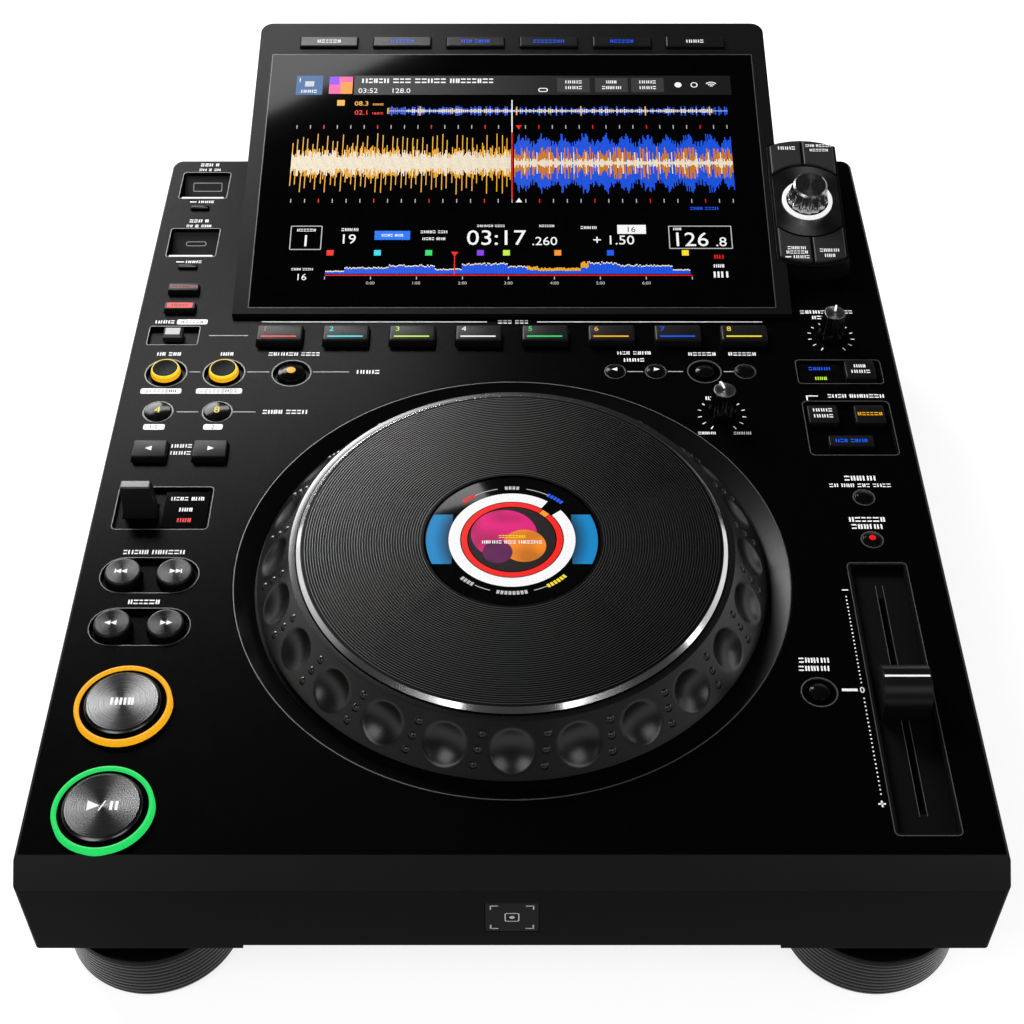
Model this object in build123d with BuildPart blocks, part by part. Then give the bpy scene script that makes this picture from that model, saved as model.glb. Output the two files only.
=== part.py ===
from build123d import *
import os
from math import cos, radians, sin, sqrt, tan

# A tabletop player for DJs, in millimetres: a flat deck with a large jog wheel, a tilted display that
# overhangs the rear panel, and keys, knobs and a tempo fader round them.
# X runs to the right, Y to the back and Z up. The origin is on the table, under the middle of the
# whole player. Places on the deck are given from the middle of the deck's front edge.

# ---- Fits and walls ----
FIT = 0.3  # clearance round a part that moves or drops into a hole
RUNNING_FIT = 0.06  # radial clearance of a shaft in its bearing
DECK_WALL = 4.0
SIDE_WALL = 3.0
TRAY_WALL = 2.0
EDGE_BREAK = 1.2  # chamfer along the deck's sides and back
KEY_BREAK = 0.5  # chamfer round the top of a key or button
FLANGE = 0.9  # a key's retaining flange reaches this far past its hole
FLANGE_THICK = 1.2
TRAVEL = 1.0  # how far a key goes down
BUTTON_SIDES = 16  # the small round caps and their holes are many-sided, which keeps them light

# ---- Body ----
BODY_WIDTH = 330.0
DECK_DEPTH = 399.0
DECK_HEIGHT = 82.0
SIDE_DEPTH = 45.0  # from the deck down to the lower edge of the sides
FASCIA_SET = 5.2  # the front face stands this far before the deck's front edge
LIP_WIDTH = 180.0  # the middle of the lip, where the slope is longer
LIP_BLEND = 10.5
LIP_SET = 3.7
LIP_DROP = 8.0
BACK_CORNER = 5.0
FRONT_CORNER = 1.5
SKIRT_LIFT = 2.0  # the tray and the fascia's middle end this far above the sides
SKIRT_WIDTH = 186.0
FASCIA_THROAT = 2.5  # the wall behind the lip is thicker

# ---- Feet ----
FOOT_RADIUS = 32.4
FOOT_NECK_RADIUS = 25.0
FOOT_NECK = 13.0
FOOT_BEVEL = 2.2
FOOT_PAD_RADIUS = 28.0
FOOT_PAD = 3.0
PAD_SIDES = 24  # the pads are cut from sheet
FOOT_INSET_X = 33.5  # from the body's side to the foot's middle
FOOT_INSET_Y = 27.6  # from the deck's front and back edges

# ---- Display ----
DISPLAY_TILT = 12.94
DISPLAY_FRONT = 279.1
DISPLAY_LIP = 2.3  # height of the front rim above the deck
DISPLAY_LENGTH = 179.0
DISPLAY_DRAFT = 5.0
DISPLAY_CORNER = 6.0
DISPLAY_EDGE = 1.5  # the housing's back face stands this far behind the top edge
DISPLAY_BACK_DROP = 22.0  # height of the back face
DISPLAY_WALL = 3.0
DISPLAY_RIM = 7.6  # solid width of the housing's sides
GLASS_WIDTH = 232.5
GLASS_BORDER = 6.95  # the housing is wider than its glass by this on each side
GLASS_LENGTH = 154.0
GLASS_FRONT = 3.6
GLASS = 1.5
PANEL_BORDER = 8.25  # the glass is wider than the panel by this on each side
PANEL_LENGTH = 134.0
PANEL = 3.0
PANEL_FRAME = 3.0  # the opening round the panel is wider by this

# ---- Display keys ----
DISPLAY_KEYS = 6
DISPLAY_KEY_PITCH = 35.7
DISPLAY_KEY_WIDTH = 28.0
DISPLAY_KEY_LENGTH = 6.6
DISPLAY_KEY_RISE = 1.4
DISPLAY_KEY_EDGE = 13.6  # from the display's back edge to the keys' middle

# ---- Selector beside the display ----
SELECTOR_SET = 12.1  # from the display's side to the selector's middle
SELECTOR_Y = 64.3  # along the slope from the display's front rim
SELECTOR_RADIUS = 37.4
SELECTOR_SIDES = 48  # its round ends are many-sided
SELECTOR_WIDTH = 32.2
SELECTOR_DRAFT = 12.0
SELECTOR_WALL = 5.0
PLATE_RADIUS = 20.7
PLATE_RISE = 0.8
SELECTOR_KEY_RISE = 1.5
SELECTOR_KEY_DEPTH = 1.6
SELECTOR_KEY_EDGE = 1.3  # ledge left outside the selector keys
SELECTOR_KEY_GAP = 1.2
SELECTOR_STEM = 4.0
ENCODER_RING_RADIUS = 11.9
ENCODER_RING = 2.2
ENCODER_TRAVEL = 0.8
KNOB_BASE_RADIUS = 9.2
KNOB_TOP_RADIUS = 7.7
KNOB_HEIGHT = 10.0
KNOB_FLUTES = 14
FLUTE_RADIUS = 1.3
GROOVE_SIDES = 4  # a groove is a square on its corner
KNOB_SIDES = 24
ENCODER_SHAFT_RADIUS = 3.0
KNOB_ROOF = 1.6  # thickness of the knob's top, and height of its foot ring

# ---- Jog wheel ----
JOG_Y = 131.1
WELL_SLOPE = 7.8  # the well's side leans in by this down to its floor
WELL_DEPTH = 4.6
WELL_WALL = 2.4
WELL_FLANGE = 4.0
JOG_GAP = 1.2  # between the ring's foot and the well's side
JOG_CONE = 13.4  # the ring's side leans in by this up to its shoulder
JOG_RISE = 14.4
JOG_SKIRT = 1.6  # the ring's lower edge is this far below the deck
JOG_WALL = 4.2
JOG_WEB = 2.4
DIMPLES = 24
DIMPLE_RADIUS = 7.9
DIMPLE_DEPTH = 1.9
PLATTER_SET = 2.8  # the platter is smaller than the shoulder by this
PLATTER = 2.2
PLATTER_BEVEL = 1.6
JOG_DISPLAY_RADIUS = 32.6
SPINDLE_RADIUS = 9.0
HUB_RADIUS = 15.0
SPINDLE_FLANGE = 32.0
SPINDLE_FLANGE_THICK = 1.6
CABLE_BORE = 4.0
CABLE_WINDOW = 16.0  # the cables of the display and the selector go down through the deck
PLATTER_BORE_GAP = 0.6  # between the platter and the display in its middle

# ---- Left column: an edge is how far a control's middle is from the deck's left side ----
COLUMN_WIDTH = 59.0  # from the deck's side to the jog well
USB_EDGE = 17.6
USB_1_Y = 377.8
USB_2_Y = 333.2
USB_WIDTH = 22.4
USB_LENGTH = 20.9
USB_DEPTH = 8.5
USB_SHALLOW = 2.0  # depth of the sloping floor at its back
USB_WALL = 1.6
PORT_WIDTH = 14.5
PORT_HEIGHT = 6.0
PORT_LENGTH = 14.0
PORT_WALL = 0.5
PORT_TONGUE = 1.8
STOP_KEY_WIDTH = 8.2
STOP_KEY_LENGTH = 2.2
STOP_KEY_RISE = 1.1
STOP_KEY_SET = 18.6  # from the port's middle to its stop key
MODE_KEY_EDGE = 18.1
QUANTIZE_Y = 297.9
SLIP_Y = 284.9
MODE_KEY_WIDTH = 13.7
MODE_KEY_LENGTH = 5.0
MODE_KEY_RISE = 2.5
CALL_LEVER_EDGE = 17.4
CALL_LEVER_Y = 267.2
LOOP_IN_EDGE = 17.5
LOOP_OUT_EDGE = 42.2
RELOOP_EDGE = 71.0
LOOP_Y = 242.6
LOOP_BUTTON_RADIUS = 6.3
LOOP_BUTTON_RISE = 3.2
LOOP_RECESS_RADIUS = 8.8
RELOOP_RADIUS = 5.8
RELOOP_RISE = 2.0
RELOOP_RECESS_RADIUS = 8.2
BEAT_LOOP_Y = 218.4
BEAT_LOOP_RADIUS = 5.6
BEAT_LOOP_RISE = 1.4
JUMP_KEY_EDGE = 17.9
JUMP_KEY_PITCH = 24.5
JUMP_KEY_Y = 193.8
JUMP_KEY_WIDTH = 14.0
JUMP_KEY_LENGTH = 10.2
JUMP_KEY_RISE = 2.9
TRACK_SHIFT = -0.4  # from the column's middle
TRACK_Y = 127.4
SEARCH_STEP = 25.5  # from the track buttons to the search buttons
TRACK_PITCH = 19.7
TRACK_RADIUS = 6.9
TRACK_RISE = 2.4
PILL_LENGTH = 37.3
PILL_WIDTH = 17.5
RING_EDGE = 27.0
CUE_Y = 64.9
PLAY_Y = 20.9
RING_RADIUS = 17.3
RING_INNER_RADIUS = 14.5
RING_RISE = 2.2
RING_SEAT = 1.5
TRANSPORT_RADIUS = 13.6
TRANSPORT_RISE = 3.2

# ---- Levers ----
DIRECTION_EDGE = 27.4
DIRECTION_Y = 162.9
DIRECTION_WIDTH = 37.2
DIRECTION_LENGTH = 22.8
PADDLE_SHIFT = -8.9  # from the recess's middle
PADDLE_WIDTH = 13.2
PADDLE_TOP_WIDTH = 11.6
PADDLE_THICK = 4.2
PADDLE_RISE = 13.5
PADDLE_SWING = 10.0
CALL_RECESS_WIDTH = 21.6
CALL_RECESS_LENGTH = 12.0
CALL_KNOB_WIDTH = 8.4
CALL_KNOB_LENGTH = 6.4
CALL_KNOB_RISE = 2.6
CALL_STEM = 2.8
CALL_SWING = 8.0
PIVOT_DEPTH = 9.0
PIVOT_RADIUS = 1.6
EAR = 2.0
EAR_REACH = 3.4

# ---- Middle row ----
PADS = 8
PAD_PITCH = 28.8
PAD_Y = 265.3
PAD_WIDTH = 20.1
PAD_LENGTH = 10.6
PAD_RISE = 3.5
CALL_BACK_X = 44.0
CALL_FORWARD_X = 61.3
DELETE_X = 82.1
MEMORY_X = 99.5
SMALL_ROW_Y = 243.6
SMALL_ROW_SET = 6.5  # from the jog well to the row's middle
SMALL_RADIUS = 3.9
SMALL_RISE = 1.4
DELETE_RECESS_RADIUS = 7.1
JOG_KNOB_X = 87.3
JOG_KNOB_Y = 217.0
DIAL_RADIUS = 5.8
DIAL_TOP_RADIUS = 4.9
DIAL_RISE = 14.0
DIAL_SHAFT_RADIUS = 3.0
DIAL_FLUTES = 12
DIAL_FLUTE_RADIUS = 0.9
POINTER_WIDTH = 1.4
POINTER_RISE = 1.6

# ---- Right column: an edge is how far a control's middle is from the deck's right side ----
VINYL_KNOB_EDGE = 26.1
VINYL_KNOB_Y = 266.4
JOG_MODE_EDGE = 25.4
JOG_MODE_Y = 243.5
JOG_MODE_WIDTH = 35.8
JOG_MODE_LENGTH = 14.7
JOG_KEY_SHIFT = 8.8  # from the recess's middle
JOG_KEY_WIDTH = 12.6
JOG_KEY_LENGTH = 11.2
JOG_KEY_RISE = 1.4
SYNC_Y = 208.8
SYNC_WIDTH = 35.8
SYNC_LENGTH = 31.9
SYNC_KEY_WIDTH = 12.4
SYNC_KEY_LENGTH = 10.8
SYNC_KEY_RISE = 0.4
BEAT_SYNC_SHIFT = -10.2
MASTER_SHIFT = 9.3
SYNC_KEY_Y = 216.9
KEY_SYNC_SHIFT = -0.6
KEY_SYNC_Y = 200.8
KEY_SYNC_WIDTH = 18.2
KEY_SYNC_LENGTH = 6.2
TEMPO_BUTTON_EDGE = 25.4
TEMPO_RANGE_Y = 168.6
MASTER_TEMPO_Y = 145.8
TEMPO_RESET_SET = 29.38  # from the fader to the reset button
TEMPO_RESET_Y = 71.4
RESET_RECESS_RADIUS = 6.4
TEMPO_BUTTON_RADIUS = 3.7

# ---- Tempo fader ----
FADER_EDGE = 25.6
TROUGH_Y = 72.4
TROUGH_WIDTH = 22.3
TROUGH_LENGTH = 122.2
TROUGH_DEPTH = 2.6
TROUGH_RIM = 1.0
TROUGH_FLANGE = 1.5
FADER_Y = 69.7  # the cap's middle when it stands at zero
FADER_SLOT = 2.2
FADER_TRAVEL = 45.0  # each way
FADER_POT_WIDTH = 11.0
FADER_POT_DEPTH = 9.0
FADER_POT_WALL = 4.0
FADER_CAP_WIDTH = 16.8
FADER_CAP_LENGTH = 18.4
FADER_CAP_RISE = 11.6
FADER_CAP_FOOT = 3.4
FADER_CAP_RIDGE = 6.4
FADER_CAP_HOLLOW = 9.0  # radius of the finger hollows
FADER_STEM = 1.5
FADER_STEM_LENGTH = 6.0
FADER_STEM_DEPTH = 8.0

# ---- Recesses ----
RECESS = 2.0
WINDOW = 1.0
MODE_WINDOW_WIDTH = 18.4
MODE_WINDOW_SHIFT = -7.8
MODE_WINDOW_LENGTH = 12.6
DIRECTION_WINDOW_WIDTH = 17.4
DIRECTION_WINDOW_SHIFT = 8.8
DIRECTION_WINDOW_LENGTH = 19.4
FRONT_WINDOW = 18.0
FRONT_WINDOW_DROP = 24.6

# ---- Rear panel ----
REAR_INSET = 4.0  # the rear panel stands this far inside the deck's back edge
INLET_X = 126.0
INLET_WIDTH = 27.0
INLET_HEIGHT = 20.0
INLET_PIN = 2.0
POWER_X = 92.0
POWER_WIDTH = 14.0
POWER_HEIGHT = 10.0
POWER_RISE = 3.0
NETWORK_X = 50.0
NETWORK_WIDTH = 16.0
NETWORK_HEIGHT = 13.5
HOST_X = 20.0
HOST_WIDTH = 12.0
HOST_HEIGHT = 11.0
SOCKET_DEPTH = 16.0
SOCKET_WALL = 1.4
SOCKET_RISE = 1.0
SOCKET_LEVEL = 22.0  # below the deck
DIGITAL_X = -60.0
LINE_OUT_X = -100.0
LINE_OUT_PITCH = 14.0
PHONO_RADIUS = 4.1
PHONO_BORE = 1.7
PHONO_RISE = 9.0
PHONO_FLANGE = 6.0
PHONO_COLLAR = 1.2
COLLAR_SIDES = 6
INLET_PINS = 3

# ---- Boards ----
BOARD = 1.6
SWITCH = 3.0
BOARD_GAP = 2.6  # from a key's flange down to the control board
BOARD_EDGE = 4.0
BOARD_FRONT = 12.0  # from the deck's front edge to the control board
BOARD_COLUMN = 50.0  # width of the control board's two arms
BOARD_BRIDGE = 66.0  # depth of the strip across the board, behind the jog wheel
BOARD_BACK = 276.0
MAIN_BOARD_WIDTH = 260.0
MAIN_BOARD_DEPTH = 90.0
MAIN_BOARD_EDGE = 26.0  # from the deck's back edge
STANDOFF = 6.0
BOARD_ARM = 376.0  # length of the control board's arms
BOARD_CLEARANCE = 1.0
CHIP = 16.0
CHIP_RISE = 3.0
CHIP_PITCH = 60.0
TRAY_FLANGE = 12.0
VENTS = 10
VENT_PITCH = 12.0
VENT_WIDTH = 3.0
VENT_LENGTH = 40.0
FLANGE_SIDES = 8
BOARD_BOSS = 5.0
BOARD_BOSS_ROWS = (84.0, 254.0)

# ---- Worked out from the sizes above ----
LEFT_EDGE = -BODY_WIDTH / 2
RIGHT_EDGE = BODY_WIDTH / 2
USB_X = LEFT_EDGE + USB_EDGE
MODE_KEY_X = LEFT_EDGE + MODE_KEY_EDGE
CALL_LEVER_X = LEFT_EDGE + CALL_LEVER_EDGE
LOOP_IN_X = LEFT_EDGE + LOOP_IN_EDGE
LOOP_OUT_X = LEFT_EDGE + LOOP_OUT_EDGE
RELOOP_X = LEFT_EDGE + RELOOP_EDGE
JUMP_KEY_X = LEFT_EDGE + JUMP_KEY_EDGE
RING_X = LEFT_EDGE + RING_EDGE
DIRECTION_X = LEFT_EDGE + DIRECTION_EDGE
VINYL_KNOB_X = RIGHT_EDGE - VINYL_KNOB_EDGE
JOG_MODE_X = RIGHT_EDGE - JOG_MODE_EDGE
TEMPO_BUTTON_X = RIGHT_EDGE - TEMPO_BUTTON_EDGE
FADER_X = RIGHT_EDGE - FADER_EDGE
# The jog well is as large as the two columns and the row behind it allow.
WELL_RADIUS = min(BODY_WIDTH / 2 - COLUMN_WIDTH, SMALL_ROW_Y - SMALL_ROW_SET - JOG_Y)
WELL_FLOOR_RADIUS = WELL_RADIUS - WELL_SLOPE
WELL_FLANGE_RADIUS = WELL_RADIUS + WELL_FLANGE
JOG_RADIUS = WELL_FLOOR_RADIUS - JOG_GAP
JOG_SHOULDER = JOG_RADIUS - JOG_CONE
PLATTER_RADIUS = JOG_SHOULDER - PLATTER_SET
PLATTER_BORE = JOG_DISPLAY_RADIUS + PLATTER_BORE_GAP
TRACK_X = (LEFT_EDGE - WELL_FLANGE_RADIUS) / 2 + TRACK_SHIFT
SEARCH_Y = TRACK_Y - SEARCH_STEP
PADDLE_X = DIRECTION_X + PADDLE_SHIFT
DIRECTION_WINDOW_X = DIRECTION_X + DIRECTION_WINDOW_SHIFT
JOG_KEY_X = JOG_MODE_X + JOG_KEY_SHIFT
MODE_WINDOW_X = JOG_MODE_X + MODE_WINDOW_SHIFT
BEAT_SYNC_X = JOG_MODE_X + BEAT_SYNC_SHIFT
MASTER_X = JOG_MODE_X + MASTER_SHIFT
KEY_SYNC_X = JOG_MODE_X + KEY_SYNC_SHIFT
TEMPO_RESET_X = FADER_X - TEMPO_RESET_SET
DISPLAY_WIDTH = GLASS_WIDTH + 2 * GLASS_BORDER
PANEL_WIDTH = GLASS_WIDTH - 2 * PANEL_BORDER
SELECTOR_X = DISPLAY_WIDTH / 2 + SELECTOR_SET
TILT = radians(DISPLAY_TILT)
DISPLAY_BACK = DISPLAY_FRONT + DISPLAY_LENGTH * cos(TILT) + DISPLAY_EDGE
DISPLAY_TOP = DISPLAY_LIP + DISPLAY_LENGTH * sin(TILT)
FRONT_EDGE = FASCIA_SET - (FASCIA_SET + DISPLAY_BACK) / 2
INNER_WIDTH = BODY_WIDTH - 2 * SIDE_WALL
FLANGE_DEPTH = DECK_WALL + FIT  # a flange's upper face, below the deck
BOARD_TOP = FLANGE_DEPTH + FLANGE_THICK + BOARD_GAP
MAIN_BOARD_Y = DECK_DEPTH - MAIN_BOARD_EDGE - MAIN_BOARD_DEPTH / 2
CHIP_PLACES = [(i * CHIP_PITCH, MAIN_BOARD_Y) for i in (-1, 0, 1)]
PHONO_PLACES = [
    (-DIGITAL_X, -SOCKET_LEVEL),
    (-LINE_OUT_X, -SOCKET_LEVEL),
    (-LINE_OUT_X + LINE_OUT_PITCH, -SOCKET_LEVEL),
]
FADER_SLOT_LENGTH = 2 * (FADER_TRAVEL + FIT) + FADER_STEM_LENGTH
FADER_POT_LENGTH = FADER_SLOT_LENGTH + 2 * FADER_POT_WALL
EAR_LENGTH = PIVOT_DEPTH + EAR_REACH - DECK_WALL
SELECTOR_HALF = SELECTOR_WIDTH / 2
LIP_HALF = LIP_WIDTH / 2

DECK = Plane(origin=(0, FRONT_EDGE, DECK_HEIGHT), x_dir=(1, 0, 0), z_dir=(0, 0, 1))
DISPLAY = Plane(
    origin=(0, FRONT_EDGE + DISPLAY_FRONT, DECK_HEIGHT + DISPLAY_LIP),
    x_dir=(1, 0, 0),
    z_dir=(0, -sin(TILT), cos(TILT)),
)
SELECTOR = Plane(
    origin=DISPLAY.from_local_coords((SELECTOR_X, SELECTOR_Y, 0)),
    x_dir=(1, 0, 0),
    z_dir=(0, -sin(TILT), cos(TILT)),
)
# Looking from the right, local X runs to the back and local Y up, from the deck's front edge.
SIDE = Plane(origin=(0, FRONT_EDGE, DECK_HEIGHT), x_dir=(0, 1, 0), z_dir=(1, 0, 0))
# Looking at the fascia and at the rear panel, local X runs to the viewer's right and local Y up.
FASCIA = Plane(origin=(0, FRONT_EDGE - FASCIA_SET, DECK_HEIGHT), x_dir=(1, 0, 0), z_dir=(0, -1, 0))
REAR_FACE = FRONT_EDGE + DECK_DEPTH - REAR_INSET
REAR = Plane(origin=(0, REAR_FACE, DECK_HEIGHT), x_dir=(-1, 0, 0), z_dir=(0, 1, 0))
JOG = Plane(origin=(0, FRONT_EDGE + JOG_Y, DECK_HEIGHT), x_dir=(1, 0, 0), z_dir=(0, 0, 1))
JOG_SECTION = Plane(origin=JOG.origin, x_dir=(1, 0, 0), z_dir=(0, -1, 0))
JOG_AXIS = Axis(JOG.origin, (0, 0, 1))

FEET = [
    (side * (BODY_WIDTH / 2 - FOOT_INSET_X), y)
    for side in (-1, 1)
    for y in (FOOT_INSET_Y, DECK_DEPTH - FOOT_INSET_Y)
]
PAD_PLACES = [((i - (PADS - 1) / 2) * PAD_PITCH, PAD_Y) for i in range(PADS)]
USB_PLACES = [(USB_X, USB_1_Y), (USB_X, USB_2_Y)]
STOP_PLACES = [(x, y - STOP_KEY_SET) for x, y in USB_PLACES]
MODE_KEY_PLACES = [(MODE_KEY_X, QUANTIZE_Y), (MODE_KEY_X, SLIP_Y)]
JUMP_PLACES = [(JUMP_KEY_X, JUMP_KEY_Y), (JUMP_KEY_X + JUMP_KEY_PITCH, JUMP_KEY_Y)]
BEAT_LOOP_PLACES = [(LOOP_IN_X, BEAT_LOOP_Y), (LOOP_OUT_X, BEAT_LOOP_Y)]
TRACK_PLACES = [(TRACK_X - TRACK_PITCH / 2, TRACK_Y), (TRACK_X + TRACK_PITCH / 2, TRACK_Y)]
SEARCH_PLACES = [(TRACK_X - TRACK_PITCH / 2, SEARCH_Y), (TRACK_X + TRACK_PITCH / 2, SEARCH_Y)]
CALL_PLACES = [(CALL_BACK_X, SMALL_ROW_Y), (CALL_FORWARD_X, SMALL_ROW_Y)]
TEMPO_PLACES = [
    (TEMPO_BUTTON_X, TEMPO_RANGE_Y),
    (TEMPO_BUTTON_X, MASTER_TEMPO_Y),
    (TEMPO_RESET_X, TEMPO_RESET_Y),
]
DISPLAY_KEY_PLACES = [
    ((i - (DISPLAY_KEYS - 1) / 2) * DISPLAY_KEY_PITCH, DISPLAY_LENGTH - DISPLAY_KEY_EDGE)
    for i in range(DISPLAY_KEYS)
]
RINGS = [(RING_X, CUE_Y), (RING_X, PLAY_Y)]
BOARD_BOSSES = [
    (side * (BODY_WIDTH / 2 - BOARD_COLUMN), y) for side in (-1, 1) for y in BOARD_BOSS_ROWS
] + [(0, BOARD_BACK - 2 * BOARD_EDGE - PAD_LENGTH)]

# Every control that goes through the deck: name, places, width, length, rise above the deck.
SQUARE_KEYS = {
    "usb_stop_keys": (STOP_PLACES, STOP_KEY_WIDTH, STOP_KEY_LENGTH, STOP_KEY_RISE),
    "quantize_slip_keys": (MODE_KEY_PLACES, MODE_KEY_WIDTH, MODE_KEY_LENGTH, MODE_KEY_RISE),
    "beat_jump_back_key": (JUMP_PLACES[:1], JUMP_KEY_WIDTH, JUMP_KEY_LENGTH, JUMP_KEY_RISE),
    "beat_jump_forward_key": (JUMP_PLACES[1:], JUMP_KEY_WIDTH, JUMP_KEY_LENGTH, JUMP_KEY_RISE),
    "jog_mode_key": ([(JOG_KEY_X, JOG_MODE_Y)], JOG_KEY_WIDTH, JOG_KEY_LENGTH, JOG_KEY_RISE),
    "beat_sync_key": ([(BEAT_SYNC_X, SYNC_KEY_Y)], SYNC_KEY_WIDTH, SYNC_KEY_LENGTH, SYNC_KEY_RISE),
    "master_key": ([(MASTER_X, SYNC_KEY_Y)], SYNC_KEY_WIDTH, SYNC_KEY_LENGTH, SYNC_KEY_RISE),
    "key_sync_key": ([(KEY_SYNC_X, KEY_SYNC_Y)], KEY_SYNC_WIDTH, KEY_SYNC_LENGTH, SYNC_KEY_RISE),
}
for number, place in enumerate(PAD_PLACES, start=1):
    SQUARE_KEYS[f"hot_cue_pad_{number}"] = ([place], PAD_WIDTH, PAD_LENGTH, PAD_RISE)

# Name, places, radius, rise above the deck.
ROUND_BUTTONS = {
    "cue_button": (RINGS[:1], TRANSPORT_RADIUS, TRANSPORT_RISE),
    "play_button": (RINGS[1:], TRANSPORT_RADIUS, TRANSPORT_RISE),
    "track_back_button": (TRACK_PLACES[:1], TRACK_RADIUS, TRACK_RISE),
    "track_forward_button": (TRACK_PLACES[1:], TRACK_RADIUS, TRACK_RISE),
    "search_back_button": (SEARCH_PLACES[:1], TRACK_RADIUS, TRACK_RISE),
    "search_forward_button": (SEARCH_PLACES[1:], TRACK_RADIUS, TRACK_RISE),
    "loop_in_button": ([(LOOP_IN_X, LOOP_Y)], LOOP_BUTTON_RADIUS, LOOP_BUTTON_RISE),
    "loop_out_button": ([(LOOP_OUT_X, LOOP_Y)], LOOP_BUTTON_RADIUS, LOOP_BUTTON_RISE),
    "reloop_button": ([(RELOOP_X, LOOP_Y)], RELOOP_RADIUS, RELOOP_RISE),
    "beat_loop_buttons": (BEAT_LOOP_PLACES, BEAT_LOOP_RADIUS, BEAT_LOOP_RISE),
    "call_buttons": (CALL_PLACES, SMALL_RADIUS, SMALL_RISE),
    "delete_button": ([(DELETE_X, SMALL_ROW_Y)], SMALL_RADIUS, SMALL_RISE),
    "memory_button": ([(MEMORY_X, SMALL_ROW_Y)], SMALL_RADIUS, SMALL_RISE),
    "tempo_buttons": (TEMPO_PLACES, TEMPO_BUTTON_RADIUS, SMALL_RISE),
}
# The two turned dials: name and place.
DIALS = {
    "jog_adjust_knob": (JOG_KNOB_X, JOG_KNOB_Y),
    "vinyl_speed_knob": (VINYL_KNOB_X, VINYL_KNOB_Y),
}

os.makedirs("parts", exist_ok=True)

# ---- Deck cover: deck, sides and fascia in one moulding, open below and at the back ----
front_lip = Polyline(
    (LIP_SET, 0),
    (-FASCIA_SET, -LIP_DROP),
    (-FASCIA_SET - EDGE_BREAK, -LIP_DROP),
    (-FASCIA_SET - EDGE_BREAK, EDGE_BREAK),
    (LIP_SET, EDGE_BREAK),
    close=True,
)
side_lip = Polyline(
    (0, 0),
    (-FASCIA_SET, -FASCIA_SET),
    (-FASCIA_SET - EDGE_BREAK, -FASCIA_SET),
    (-FASCIA_SET - EDGE_BREAK, EDGE_BREAK),
    (0, EDGE_BREAK),
    close=True,
)

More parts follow.
